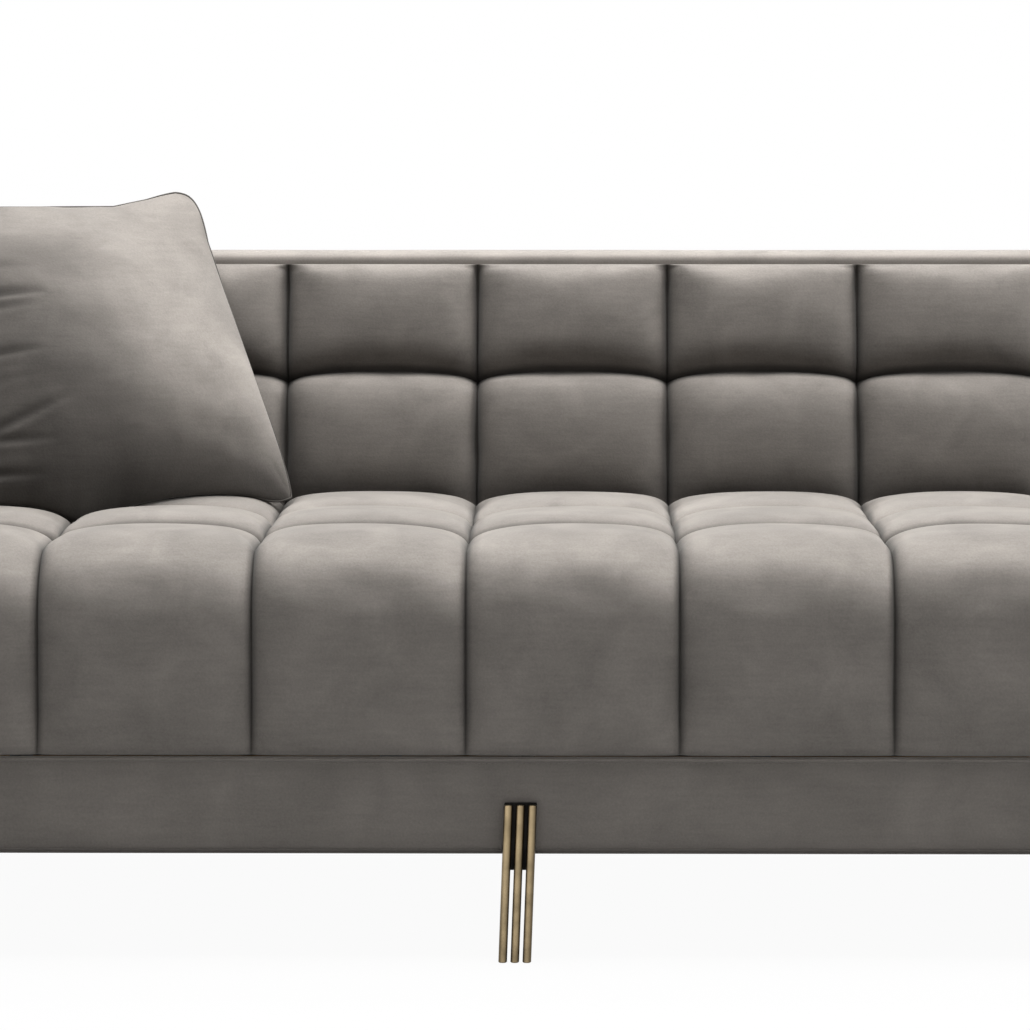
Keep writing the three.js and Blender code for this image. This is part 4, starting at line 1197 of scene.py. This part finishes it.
def make_rod_tree():
    """Rods at each leg: a row of chamfered rods, leaning along the seat."""
    tree, given = geometry_tree("Leg rods", ("Diameter", "Height", "Chamfer", "Spacing"), ("Count",))
    height, chamfer = given["Height"], given["Chamfer"]
    radius = times(tree, given["Diameter"], 0.5)
    middle = times(tree, height, 0.5)
    narrow = minus(tree, radius, chamfer)
    straight = minus(tree, height, times(tree, chamfer, 2.0))
    bar = geometry_node(tree, "MeshCylinder", {
        "Vertices": ROD_SIDES, "Radius": radius, "Depth": straight}, "Mesh", fill_type="NONE")
    head = moved(tree, cone(tree, ROD_SIDES, narrow, radius, chamfer),
                 combined(tree, Z=minus(tree, height, chamfer)))
    rod = joined(tree, head, moved(tree, bar, combined(tree, Z=middle)),
                 cone(tree, ROD_SIDES, radius, narrow, chamfer))
    half = times(tree, minus(tree, given["Count"], 1.0), -0.5)
    line = geometry_node(tree, "MeshLine", {
        "Count": given["Count"], "Start Location": combined(tree, X=times(tree, half, given["Spacing"])),
        "Offset": combined(tree, X=given["Spacing"])})
    rows = geometry_node(tree, "InstanceOnPoints", {"Points": given["Geometry"], "Instance": line})
    rods = geometry_node(tree, "InstanceOnPoints", {"Points": realized(tree, rows), "Instance": rod})
    leaning = lean_over(tree, realized(tree, rods), middle)
    merged = geometry_node(tree, "MergeByDistance", {"Geometry": leaning, "Distance": 0.00001})
    return end_tree(tree, given, merged)


def make_bracket_tree():
    """A bracket at each leg: a plate, a flange under the plinth and screws in it."""
    tree, given = geometry_tree("Leg brackets", (
        "Width", "Thickness", "Plate Top", "Plate Bottom", "Flange Top", "Flange Depth", "Gap",
        "Screw Diameter", "Middle"))

    def block(size, place):
        cube = geometry_node(tree, "MeshCube", {"Size": combined(tree, **dict(zip("XYZ", size)))}, "Mesh")
        return moved(tree, cube, combined(tree, **dict(zip("XYZ", place))))

    width, thickness, gap = given["Width"], given["Thickness"], given["Gap"]
    plate_top, plate_bottom = given["Plate Top"], given["Plate Bottom"]
    flange_top, flange_depth = given["Flange Top"], given["Flange Depth"]
    half = times(tree, thickness, 0.5)
    plate_middle = times(tree, plus(tree, plate_top, plate_bottom), 0.5)
    plate = block((width, thickness, minus(tree, plate_top, plate_bottom)),
                  (0.0, times(tree, plus(tree, gap, half), -1.0), plate_middle))
    flange = block((width, plus(tree, flange_depth, gap), thickness),
                   (0.0, times(tree, minus(tree, flange_depth, gap), 0.5), minus(tree, flange_top, half)))
    parts = [flange, plate]
    radius = times(tree, given["Screw Diameter"], 0.5)
    screw_height = minus(tree, minus(tree, flange_top, thickness), half)
    for share_x, share_y in SCREW_PLACES:
        head = cone(tree, SCREW_SIDES, radius, times(tree, radius, 0.6), half)
        parts.append(moved(tree, head, combined(
            tree, X=times(tree, width, share_x), Y=times(tree, flange_depth, share_y), Z=screw_height)))
    brackets = geometry_node(tree, "InstanceOnPoints", {
        "Points": given["Geometry"], "Instance": joined(tree, *parts),
        "Rotation": combined(tree, Z=painted_number(tree, "turn"))})
    return end_tree(tree, given, lean_over(tree, realized(tree, brackets), given["Middle"]), smooth=False)


def make_welt_tree():
    """Piping: a round cord along a line."""
    tree, given = geometry_tree("Welt", ("Radius",), ("Sides",))
    line = geometry_node(tree, "MeshToCurve", {"Mesh": given["Geometry"]})
    circle = geometry_node(tree, "CurvePrimitiveCircle", {
        "Resolution": given["Sides"], "Radius": given["Radius"]}, mode="RADIUS")
    cord = geometry_node(tree, "CurveToMesh", {"Curve": line, "Profile Curve": circle, "Fill Caps": True})
    return end_tree(tree, given, cord)


def make_stitch_tree():
    """Small things at an even spacing along a line, such as stitches or staples."""
    tree, given = geometry_tree("Stitches", ("Spacing", "Length", "Width", "Height"))
    line = geometry_node(tree, "MeshToCurve", {"Mesh": given["Geometry"]})
    spaced = geometry_node(tree, "ResampleCurve", {"Curve": line, "Length": given["Spacing"]}, mode="LENGTH")
    size = combined(tree, X=given["Length"], Y=given["Width"], Z=given["Height"])
    tangent = tree.nodes.new("GeometryNodeInputTangent").outputs[0]
    turned = add_node(tree, "FunctionNodeAlignEulerToVector", {"Vector": tangent}, axis="X").outputs[0]
    placed = geometry_node(tree, "InstanceOnPoints", {
        "Points": spaced, "Instance": geometry_node(tree, "MeshCube", {"Size": size}, "Mesh"),
        "Rotation": turned})
    return end_tree(tree, given, placed, smooth=False)


def get_tree(name, make):
    """A tree that several operators use, made by the first of them."""
    return bpy.data.node_groups.get(name) or make()


def make_welt(name, points, edges, radius, sides, finish):
    """Piping along a line."""
    return run_tree(name, get_tree("Welt", make_welt_tree), points, edges, {
        "Radius": radius, "Sides": sides, "Material": finish_of(finish)})


def make_stitches(name, points, edges, spacing, size, finish):
    """Stitches or staples along a line."""
    return run_tree(name, get_tree("Stitches", make_stitch_tree), points, edges, {
        "Spacing": spacing, "Length": size[0], "Width": size[1], "Height": size[2],
        "Material": finish_of(finish)})


class RECAMIER_OT_legs(RecamierStep):
    """Make the brass rods and steel brackets of the six legs"""

    bl_idname = "recamier.legs"
    bl_label = "Legs"

    bracket_thickness = 0.003
    bracket_margin = 0.005
    screw_diameter = 0.008
    broken_edge = 0.0005

    def make(self, scene):
        sizes = scene.recamier_legs
        legs = [(side, place) for side in ("front", "rear") for place in ("left", "middle", "right")]
        middles, depths = [], []
        for side, place in legs:
            low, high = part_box(f"{side}_{place}_leg_bracket")
            rod_low, rod_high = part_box(f"{side}_{place}_leg_rod_2")
            middles.append((low.x + high.x) / 2)
            depths.append((rod_low.y + rod_high.y) / 2)
        lean = math.tan(sizes.lean)
        leans = [-lean if place == "right" else lean for _, place in legs]
        rod_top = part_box("front_middle_leg_rod_2")[1].z
        rods = run_tree("leg_rods", make_rod_tree(), [(x, y, 0) for x, y in zip(middles, depths)], [], {
            "Diameter": sizes.rod_diameter, "Height": rod_top, "Chamfer": sizes.rod_chamfer,
            "Spacing": sizes.rod_spacing, "Count": 3, "Material": finish_of("antique_brass")},
            {"lean": leans})
        self.paint_reflection(rods)
        dress(rods, MAIN_BODY, "antique_brass", [
            f"{side}_{place}_leg_rod_{number}" for side, place in legs for number in (1, 2, 3)])

        low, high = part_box("front_middle_leg_bracket")
        faces = [PLINTH_FACE if side == "front" else PLINTH_FACE + PLINTH_DEPTH for side, _ in legs]
        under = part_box("plinth_front_cover")[0].z
        brackets = run_tree("leg_brackets", make_bracket_tree(), [
            (x, y, 0) for x, y in zip(middles, faces)], [], {
            "Width": high.x - low.x - self.bracket_margin, "Thickness": self.bracket_thickness,
            "Plate Top": high.z, "Plate Bottom": low.z, "Flange Top": under - CONTACT,
            "Flange Depth": high.y - PLINTH_FACE, "Gap": -(low.y - PLINTH_FACE) - self.bracket_thickness,
            "Screw Diameter": self.screw_diameter, "Middle": rod_top / 2,
            "Material": finish_of("black_steel"),
        }, {"turn": [0.0 if side == "front" else math.pi for side, _ in legs], "lean": leans})
        bevel = brackets.modifiers.new("Broken edges", "BEVEL")
        bevel.width = self.broken_edge
        bevel.segments = 2
        dress(brackets, MAIN_BODY, "black_steel", [f"{side}_{place}_leg_bracket" for side, place in legs])

    def paint_reflection(self, rods):
        """Paints reflection and shade on the rods: bright where they face front or back, dark on their
        flanks, the right flank darkest, darker towards the floor and below the plinth's bottom edge.
        """
        x, y, _ = read_vectors(rods.data.vertex_normals, "vector").T
        heights = read_vectors(rods.data.vertices, "co")[:, 2]
        reflection_share = np.clip(np.abs(y) * 0.9 - x * 0.35, 0, 1) ** 2.3 * ramp(heights, 0, 0.012, 0.35)
        paint(rods, PAINTED_REFLECTION_ATTRIBUTE, reflection_share * (0.38 + 0.62 * ramp(heights, 0.098, 0.112)))


class RECAMIER_OT_piping(RecamierStep):
    """Make the piping at the top and bottom of the plinth, with its stitches"""

    bl_idname = "recamier.piping"
    bl_label = "Piping"

    cord_sides = 14
    stitch_inset = 0.0019
    stitch_spacing = 0.0055
    stitch_size = (0.0036, 0.0005, 0.0005)

    def make(self, scene):
        for level, stitch_drop in (("top", -0.0034), ("bottom", 0.0036)):
            low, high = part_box(f"plinth_{level}_piping")
            radius = (high.z - low.z) / 2
            middle = (high.z + low.z) / 2
            piece = make_welt(f"plinth_{level}_welt", *ring_line(low, high, radius, middle), radius,
                              self.cord_sides, "velvet_piping")
            dress(piece, MAIN_BODY, "velvet_piping", [f"plinth_{level}_piping"])
            # The bottom piping is painted darker, as shade under the plinth
            if level == "bottom":
                paint_velvet_light(piece, painted_shade=0.8)
            line = ring_line(low, high, self.stitch_inset, middle + stitch_drop)
            stitches = make_stitches(
                f"plinth_{level}_stitches", *line, self.stitch_spacing, self.stitch_size, "thread")
            dress(stitches, MAIN_BODY, "velvet_piping")


def cloth_sheet(name, low, high, across, along):
    """A thin level or upright cloth, stretched over a frame, with the size it was cut to."""
    size = high - low
    thin = min(range(3), key=lambda axis: size[axis])
    first, second = [axis for axis in range(3) if axis != thin]
    points, faces = [], []
    for row in range(along + 1):
        for column in range(across + 1):
            point = (low + high) / 2
            point[first] = low[first] + size[first] * (column / across)
            point[second] = low[second] + size[second] * (row / along)
            points.append(point)
    for row in range(along):
        for column in range(across):
            corner = row * (across + 1) + column
            faces.append((corner, corner + 1, corner + across + 2, corner + across + 1))
    # The inner cloths are black: real for the dust cover, but on the webbing the black is painted shade, so
    # the slit under the arm cap shows a dark line
    piece = add_mesh(name, points, faces, "black_cloth")
    solid = piece.modifiers.new("Thickness", "SOLIDIFY")
    solid.thickness = 0.0006
    solid.offset = 0
    return piece, (high[first] - low[first], high[second] - low[second])


class RECAMIER_OT_inner_cloths(RecamierStep):
    """Make the dust cover with its staples, the deck cloth, the webbing and the foam core"""

    bl_idname = "recamier.inner_cloths"
    bl_label = "Inner cloths"

    staple_margin = 0.012
    staple_spacing = 0.045
    staple_size = (0.010, 0.0011, 0.0007)
    webbing_thickness = 0.003
    foam_clearance = 0.006
    foam_round = 0.022

    def make(self, scene):
        self.make_flat("dust_cloth", "dust_cover", 40, 20, [
            "base_left_rail", "base_right_rail", "base_cross_rail"])
        low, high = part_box("dust_cover")
        line = ring_line(low, high, self.staple_margin, low.z + 0.0001, 0.004, 3, 0.2)
        staples = make_stitches(
            "dust_cloth_staples", *line, self.staple_spacing, self.staple_size, "spring_steel")
        dress(staples, MAIN_BODY, "spring_steel")
        self.make_flat("deck_cloth", "seat_deck_cloth", 40, 20, [
            "seat_spring_1", "seat_spring_2", "seat_spring_3", "seat_spring_4"])
        self.make_flat("arm_webbing", "arm_webbing_panel", 20, 20, ["arm_front_post"])
        self.make_back_webbing()
        self.make_foam_core(scene)

    def make_flat(self, name, node, across, along, rests_on):
        """A cloth stretched flat where its solid is."""
        piece, flat = cloth_sheet(name, *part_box(node), across, along)
        dress(piece, MAIN_BODY, "hessian", [node])

    def make_back_webbing(self):
        """The webbing that leans with the back's uprights."""
        low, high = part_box("back_webbing_panel")
        start = np.array((low.y + self.webbing_thickness / 2, low.z))
        rise = np.array((high.y - self.webbing_thickness / 2, high.z)) - start
        piece, _ = cloth_sheet("back_webbing", Vector((low.x, -0.001, 0)), Vector((high.x, 0.001, 1)), 50, 14)
        for vertex in piece.data.vertices:
            vertex.co.yz = start + rise * vertex.co.z
        dress(piece, MAIN_BODY, "hessian", ["back_webbing_panel"])

    def make_foam_core(self, scene):
        """The block of foam in the seat, a little clear of the drawn-in seams."""
        low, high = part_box("seat_foam_core")
        high = high - Vector((self.foam_clearance, 0.0, self.foam_clearance))
        edit = bmesh.new()
        bmesh.ops.create_cube(edit, size=1.0)
        for vertex in edit.verts:
            vertex.co = [(low[axis] + high[axis]) / 2 + vertex.co[axis] * (high[axis] - low[axis])
                         for axis in range(3)]
        bmesh.ops.bevel(
            edit, geom=list(edit.edges), offset=self.foam_round, segments=5, profile=0.5, affect="EDGES")
        mesh = bpy.data.meshes.new("seat_foam")
        edit.to_mesh(mesh)
        edit.free()
        mesh.materials.append(finish_of("foam"))
        mesh.shade_smooth()
        foam = bpy.data.objects.new("seat_foam", mesh)
        scene.collection.objects.link(foam)
        dress(foam, MAIN_BODY, "foam", ["seat_foam_core"])


class RECAMIER_OT_frame_finishes(RecamierStep):
    """Give the wooden frame and the springs their finishes"""

    bl_idname = "recamier.frame_finishes"
    bl_label = "Frame finishes"

    finishes = {
        "hardwood_lengthwise": ("base_front_rail", "base_rear_rail", "back_top_rail"),
        "hardwood_crosswise": ("base_left_rail", "base_right_rail", "base_cross_rail", "arm_top_rail"),
        "hardwood_upright": (
            "back_left_upright", "back_middle_upright", "back_right_upright", "arm_front_post"),
        "spring_steel": ("seat_spring_1", "seat_spring_2", "seat_spring_3", "seat_spring_4"),
    }

    def make(self, scene):
        for finish, names in self.finishes.items():
            for name in names:
                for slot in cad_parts[name].material_slots:
                    slot.material = finish_of(finish)


# Scatter cushion

CUSHION_CELLS = 104
# How far each side stands out along its length: places from -1 to 1, and shares of the half side
CUSHION_RIGHT = (
    (-1, -0.6, -0.35, 0, 0.3, 0.64, 0.85, 1), (1.065, 1.03, 1.005, 0.975, 0.95, 0.93, 0.95, 0.96))
CUSHION_LEFT = ((-1, -0.5, 0, 0.5, 1), (1.0, 0.95, 0.93, 0.94, 1.0))
CUSHION_TOP = ((-1, -0.85, -0.4, 0.4, 0.62, 0.85, 1), (1.0, 0.97, 0.885, 0.885, 0.93, 1.0, 1.02))
CUSHION_FOOT = (
    (-1, -0.75, -0.6, -0.5, -0.4, -0.3, -0.2, -0.05, 0.6, 1),
    (1.02, 1.02, 1.045, 1.085, 1.12, 1.12, 1.085, 1.045, 1.03, 1.04))

# Folds from one place to another, in half sides, with their width, depth and the strength of the painted
# shade along them
CUSHION_FOLDS = (
    ((-1.0, 0.22), (-0.26, 0.175), 0.0050, 0.0080, 1.0),
    ((-1.0, 0.10), (-0.36, 0.10), 0.0040, 0.0040, 0.5),
    ((-1.0, -0.17), (-0.38, -0.185), 0.0050, 0.0075, 1.0),
    ((-1.0, -0.36), (-0.44, -0.33), 0.0040, 0.0035, 0.5),
    ((-1.0, -0.70), (-0.30, -0.47), 0.0055, 0.0090, 1.0),
    ((-1.0, -0.64), (-0.40, -0.71), 0.0045, 0.0075, 1.0),
    ((-1.0, -0.82), (-0.44, -0.89), 0.0050, 0.0080, 1.0),
    ((-1.0, 0.42), (-0.30, 0.36), 0.0060, 0.0030, 0.4),
    ((0.10, 1.0), (0.36, 0.42), 0.0240, 0.0030, 0.0),
    ((0.30, 1.0), (0.52, 0.60), 0.0120, 0.0020, 0.15),
    ((0.98, -0.80), (0.30, -0.62), 0.0180, 0.0024, 0.0),
)
SOFT_LUMPS = ((0.0028, 1.0), (0.0012, 2.6))
EDGE_BAND = 0.16


def pillow_grid(half, thickness):
    """Points and faces of a filled square cushion in its own plane, with its edge ring and its painted shade.
    """
    cells = CUSHION_CELLS
    line = np.linspace(-1, 1, cells + 1)
    steps = 0.6 * np.sin(line * math.pi / 2) + 0.4 * line
    u, v = np.meshgrid(steps, steps)
    side = np.where(u > 0, np.interp(v, *CUSHION_RIGHT), np.interp(v, *CUSHION_LEFT))
    end = np.where(v > 0, np.interp(u, *CUSHION_TOP), np.interp(u, *CUSHION_FOOT))
    corner = (np.abs(u) * np.abs(v)) ** 7 * np.where(v > 0, 0.075, 0.035)
    x = half * u * (1 + (side - 1) * np.abs(u) ** 1.5) * (1 - corner)
    y = half * v * (1 + (end - 1) * np.abs(v) ** 1.5) * (1 - corner)
    full = (np.maximum(0, 1 - np.abs(u) ** 2.2) * np.maximum(0, 1 - np.abs(v) ** 2.2)) ** 0.66
    full = full * (1 - 0.28 * v) * 1.14
    folds = cushion_folds(x, y, half)
    points, faces, tables, dark = [], [], [], []
    for sign in (1, -1):
        table = {}
        for row in range(cells + 1):
            for column in range(cells + 1):
                edge = row in (0, cells) or column in (0, cells)
                if sign < 0 and edge:
                    table[row, column] = tables[0][row, column]
                    continue
                table[row, column] = len(points)
                inner_front = sign > 0 and not edge
                rise = sign * thickness * full[row, column]
                if inner_front:
                    rise += folds[0][row, column]
                points.append((x[row, column], y[row, column], 0 if edge else rise))
                dark.append(folds[1][row, column] if inner_front else 0)
        tables.append(table)
        for row in range(cells):
            for column in range(cells):
                quad = (table[row, column], table[row, column + 1],
                        table[row + 1, column + 1], table[row + 1, column])
                faces.append(quad if sign > 0 else tuple(reversed(quad)))
    table = tables[0]
    ring = [table[0, column] for column in range(cells)]
    ring += [table[row, cells] for row in range(cells)]
    ring += [table[cells, column] for column in range(cells, 0, -1)]
    ring += [table[row, 0] for row in range(cells, 0, -1)]
    return np.array(points), faces, ring, np.array(dark)


def cushion_folds(x, y, half):
    """Heights of the folds pulled into the cushion's front, and the painted shade on it: dark in the folds,
    at the left and the bottom, lighter at the lower right.
    """
    heights = np.zeros(x.shape)
    painted_shade = np.zeros(x.shape)
    for start, end, width, depth, crease_shade in CUSHION_FOLDS:
        start, end = np.array(start) * half, np.array(end) * half
        along = end - start
        length = np.linalg.norm(along)
        along /= length
        share = ((x - start[0]) * along[0] + (y - start[1]) * along[1]) / length
        aside = (x - start[0]) * -along[1] + (y - start[1]) * along[0]
        if along[0] < 0:
            aside = -aside
        wide = width * (1.25 - 0.5 * np.clip(share, 0, 1))
        fade = np.clip(1 - share, 0, 1) ** 0.8 * np.clip(1 + share * 8, 0, 1)
        heights -= depth * fade * bell(aside, 0, wide)
        painted_shade += 1.3 * crease_shade * fade * bell(aside, -0.2 * wide, 1.05 * wide)
        heights += 0.4 * depth * fade * bell(aside, -1.7 * wide, 1.2 * wide)
    for row, column in np.ndindex(x.shape):
        place = Vector((x[row, column] * 11, y[row, column] * 11, 4.2))
        heights[row, column] += sum(height * noise.noise(place * scale) for height, scale in SOFT_LUMPS)
    u, v = x / half, y / half
    # Painted shade and light: darker to the left, to the lower left, in a band just left of the middle and
    # along the bottom edge; lighter at the lower right
    painted_shade += 0.22 * beyond(-u, 0.12, 0.14)
    painted_shade += 0.55 * beyond(-0.55 * u - 0.85 * v, 0.12, 0.17) * (1 - painted_shade)
    painted_shade -= 0.55 * bell(v, -0.34, 0.34) * beyond(u, 0.16, 0.12)
    mid_band_shade = 0.14 + 0.22 * bell(v, 0.43, 0.16)
    painted_shade += mid_band_shade * beyond(-u, -0.07, 0.06) * beyond(u, -0.55, 0.10) * beyond(-v, -0.60, 0.05)
    painted_shade += 0.22 * beyond(-v, 0.85, 0.04)
    inside = np.clip((1 - np.abs(u)) / EDGE_BAND, 0, 1) * np.clip((1 - np.abs(v)) / EDGE_BAND, 0, 1)
    return heights * inside, np.clip(painted_shade, -0.45, 0.9)


class RECAMIER_OT_scatter_cushion(RecamierStep):
    """Make the scatter cushion that leans in the corner"""

    bl_idname = "recamier.scatter_cushion"
    bl_label = "Scatter cushion"

    settle_cap = 0.008
    pressure = 2.0
    clearance = 0.0012
    softness = 0.004
    near_seat = 0.05
    welt_radius = 0.0013
    welt_sides = 8

    def make(self, scene):
        sizes = scene.recamier_cushion
        points, faces, ring, painted_shade = pillow_grid(sizes.half_side, sizes.half_thickness)
        piece = add_mesh("scatter_cushion_cover", points, faces, "velvet_cushion")
        pinned = np.zeros(len(points), bool)
        pinned[ring] = True
        settle_fabric(piece, pinned, self.settle_cap, self.pressure, 0.0)

        across = Vector((math.cos(sizes.turn), math.sin(sizes.turn), 0))
        level = Vector((-math.sin(sizes.turn), math.cos(sizes.turn), 0))
        rise = level * math.sin(sizes.lean) + Vector((0, 0, math.cos(sizes.lean)))
        centre = Vector(sizes.foot) + rise * sizes.half_side
        axes = np.array([across, rise, across.cross(rise)])
        placed = read_vectors(piece.data.vertices, "co") @ axes + np.array(centre)
        placed[:, 2] = self.rest_on_seat(placed)
        move_points(piece, placed)
        soften(piece)
        dress(piece, CUSHION_BODY, "velvet_cushion", ["scatter_cushion"])
        # Painted light and shade on the cushion, with its painted shade in the folds, at the left and at the
        # bottom
        paint_velvet_light(piece, 0.30, painted_shade, 0.12)
        seam = make_welt("scatter_cushion_welt", placed[ring], closed_edges(len(ring)),
                         self.welt_radius, self.welt_sides, "velvet_cushion")
        dress(seam, CUSHION_BODY, "velvet_cushion")
        # The welt is painted dark, as shade along the cushion's edge
        paint_velvet_light(seam, painted_shade=0.75)

    def rest_on_seat(self, placed):
        """Heights of the cushion's points, the lowest pressed softly onto the tufted seat."""
        seat = BVHTree.FromObject(bpy.data.objects["seat_tufting"], bpy.context.evaluated_depsgraph_get())
        heights = placed[:, 2].copy()
        for number, (x, y, z) in enumerate(placed):
            if z > SEAT_HIGH.z + self.near_seat:
                continue
            hit = seat.ray_cast(Vector((x, y, 1)), Vector((0, 0, -1)))[0]
            if hit is None:
                continue
            over = (z - hit.z - self.clearance) / self.softness
            over = over if over > 20 else math.log1p(math.exp(over))
            heights[number] = hit.z + self.clearance + self.softness * over
        return heights


class RECAMIER_OT_stage(RecamierStep):
    """Make the floor, the lamps, the room light and the camera"""

    bl_idname = "recamier.stage"
    bl_label = "Stage"

    white = (1, 1, 1, 1)

    def make(self, scene):
        settings = scene.recamier_stage
        self.make_floor()
        self.make_room(scene, settings.room_light)
        self.add_lamp(
            scene, "Top lamp", (-0.1, -0.5, 2.6), (-0.05, -0.05, 0.4), (3.4, 1.4), settings.top_power)
        self.add_lamp(scene, "Rear lamp", (0, 1.1, 2.3), (0, 0, 0.4), (3.4, 0.8), settings.rear_power)
        self.add_lamp(scene, "Floor card", (0, -1.45, 0.04), (0, -0.4, 0.25), (3.4, 0.6), settings.card_power)
        self.add_lamp(scene, "Side lamp", (3.0, -0.2, 1.5), (0.2, 0, 0.45), (1.2, 1.2), settings.side_power)
        self.add_camera(scene, settings)
        scene.view_settings.view_transform = "Standard"

    def seen(self, tree):
        """1 for rays that show a surface directly, in a mirror or through glass."""
        rays = tree.nodes.new("ShaderNodeLightPath").outputs
        direct = plus(tree, rays["Is Camera Ray"], rays["Is Glossy Ray"])
        return math_node(tree, "ADD", direct, rays["Is Transmission Ray"], clamp=True)

    def end_mix(self, tree, output, share, first, second):
        """Ends a tree with a mix of two shaders."""
        mixed = add_node(tree, "ShaderNodeMixShader", {0: share, 1: first.outputs[0], 2: second.outputs[0]})
        add_node(tree, output, {"Surface": mixed.outputs[0]})

    def make_floor(self):
        """A floor that shows white and keeps a faint shadow near the object."""
        material = bpy.data.materials.new(FINISH_PREFIX + "studio_floor")
        material.use_nodes = True
        tree = material.node_tree
        tree.nodes.clear()
        plain = add_node(tree, "ShaderNodeBsdfDiffuse", {"Color": (0.84, 0.84, 0.84, 1)})
        white = add_node(tree, "ShaderNodeEmission", {"Color": self.white, "Strength": 1.0})
        place = tree.nodes.new("ShaderNodeTexCoord").outputs["Object"]
        distance = add_node(tree, "ShaderNodeVectorMath", {0: place}, operation="LENGTH").outputs["Value"]
        share = times(tree, self.seen(tree), remap(tree, distance, 0.9, 2.2, 0.955, 1.0))
        self.end_mix(tree, "ShaderNodeOutputMaterial", share, plain, white)
        far = 30
        points = [(-far, -far, 0), (far, -far, 0), (far, far, 0), (-far, far, 0)]
        add_mesh("studio_floor", points, [(0, 1, 2, 3)], "studio_floor", smooth=False)

    def make_room(self, scene, strength):
        """A room that is white to look at and lights the object only a little."""
        world = bpy.data.worlds.new("Studio")
        world.use_nodes = True
        tree = world.node_tree
        tree.nodes.clear()
        dim = add_node(tree, "ShaderNodeBackground", {"Color": self.white, "Strength": strength})
        white = add_node(tree, "ShaderNodeBackground", {"Color": self.white, "Strength": 1.0})
        self.end_mix(tree, "ShaderNodeOutputWorld", self.seen(tree), dim, white)
        scene.world = world

    def add_lamp(self, scene, name, place, aim, size, power):
        """A large soft lamp that points at a place."""
        light = bpy.data.lights.new(name, "AREA")
        light.shape = "RECTANGLE"
        light.size, light.size_y = size
        light.energy = power
        lamp = bpy.data.objects.new(name, light)
        lamp.location = place
        lamp.rotation_euler = (Vector(aim) - Vector(place)).to_track_quat("-Z", "Y").to_euler()
        scene.collection.objects.link(lamp)

    def add_camera(self, scene, settings):
        """The camera that stands where the photograph was taken."""
        camera = bpy.data.objects.new("Camera", bpy.data.cameras.new("Camera"))
        camera.data.lens = settings.camera_lens
        camera.data.sensor_width = 36
        camera.data.clip_end = 100
        camera.location = settings.camera_place
        camera.rotation_euler = (math.pi / 2 + settings.camera_pitch, 0, -settings.camera_yaw)
        scene.collection.objects.link(camera)
        scene.camera = camera


STEPS = (
    RECAMIER_OT_finishes, RECAMIER_OT_tufted_seat, RECAMIER_OT_tufted_back, RECAMIER_OT_tufted_arm,
    RECAMIER_OT_plinth, RECAMIER_OT_shell, RECAMIER_OT_legs, RECAMIER_OT_piping, RECAMIER_OT_inner_cloths,
    RECAMIER_OT_frame_finishes, RECAMIER_OT_scatter_cushion, RECAMIER_OT_stage)
SETTINGS = {
    "recamier_tufting": RecamierTufting, "recamier_cushion": RecamierCushion, "recamier_legs": RecamierLegs,
    "recamier_colours": RecamierColours, "recamier_stage": RecamierStage}


class RECAMIER_PT_panel(bpy.types.Panel):
    """The recamier's sizes, colours and steps"""

    bl_idname = "RECAMIER_PT_panel"
    bl_label = "Recamier"
    bl_space_type = "VIEW_3D"
    bl_region_type = "UI"
    bl_category = "Recamier"

    def draw(self, context):
        layout = self.layout
        for name, group in SETTINGS.items():
            box = layout.box()
            box.label(text=group.__doc__)
            for label in group.__annotations__:
                box.prop(getattr(context.scene, name), label)
        for step in STEPS:
            layout.operator(step.bl_idname)


CLASSES = (*SETTINGS.values(), *STEPS, RECAMIER_PT_panel)


def register():
    """Registers the classes and hangs the settings on the scene."""
    for item in CLASSES:
        bpy.utils.register_class(item)
    for name, group in SETTINGS.items():
        setattr(bpy.types.Scene, name, bpy.props.PointerProperty(type=group))


def unregister():
    """Takes the settings and the classes away again."""
    for name in SETTINGS:
        delattr(bpy.types.Scene, name)
    for item in reversed(CLASSES):
        bpy.utils.unregister_class(item)


def main():
    """Makes every piece in order."""
    register()
    for step in STEPS:
        group, name = step.bl_idname.split(".")
        getattr(getattr(bpy.ops, group), name)()


if __name__ == "__main__":
    main()
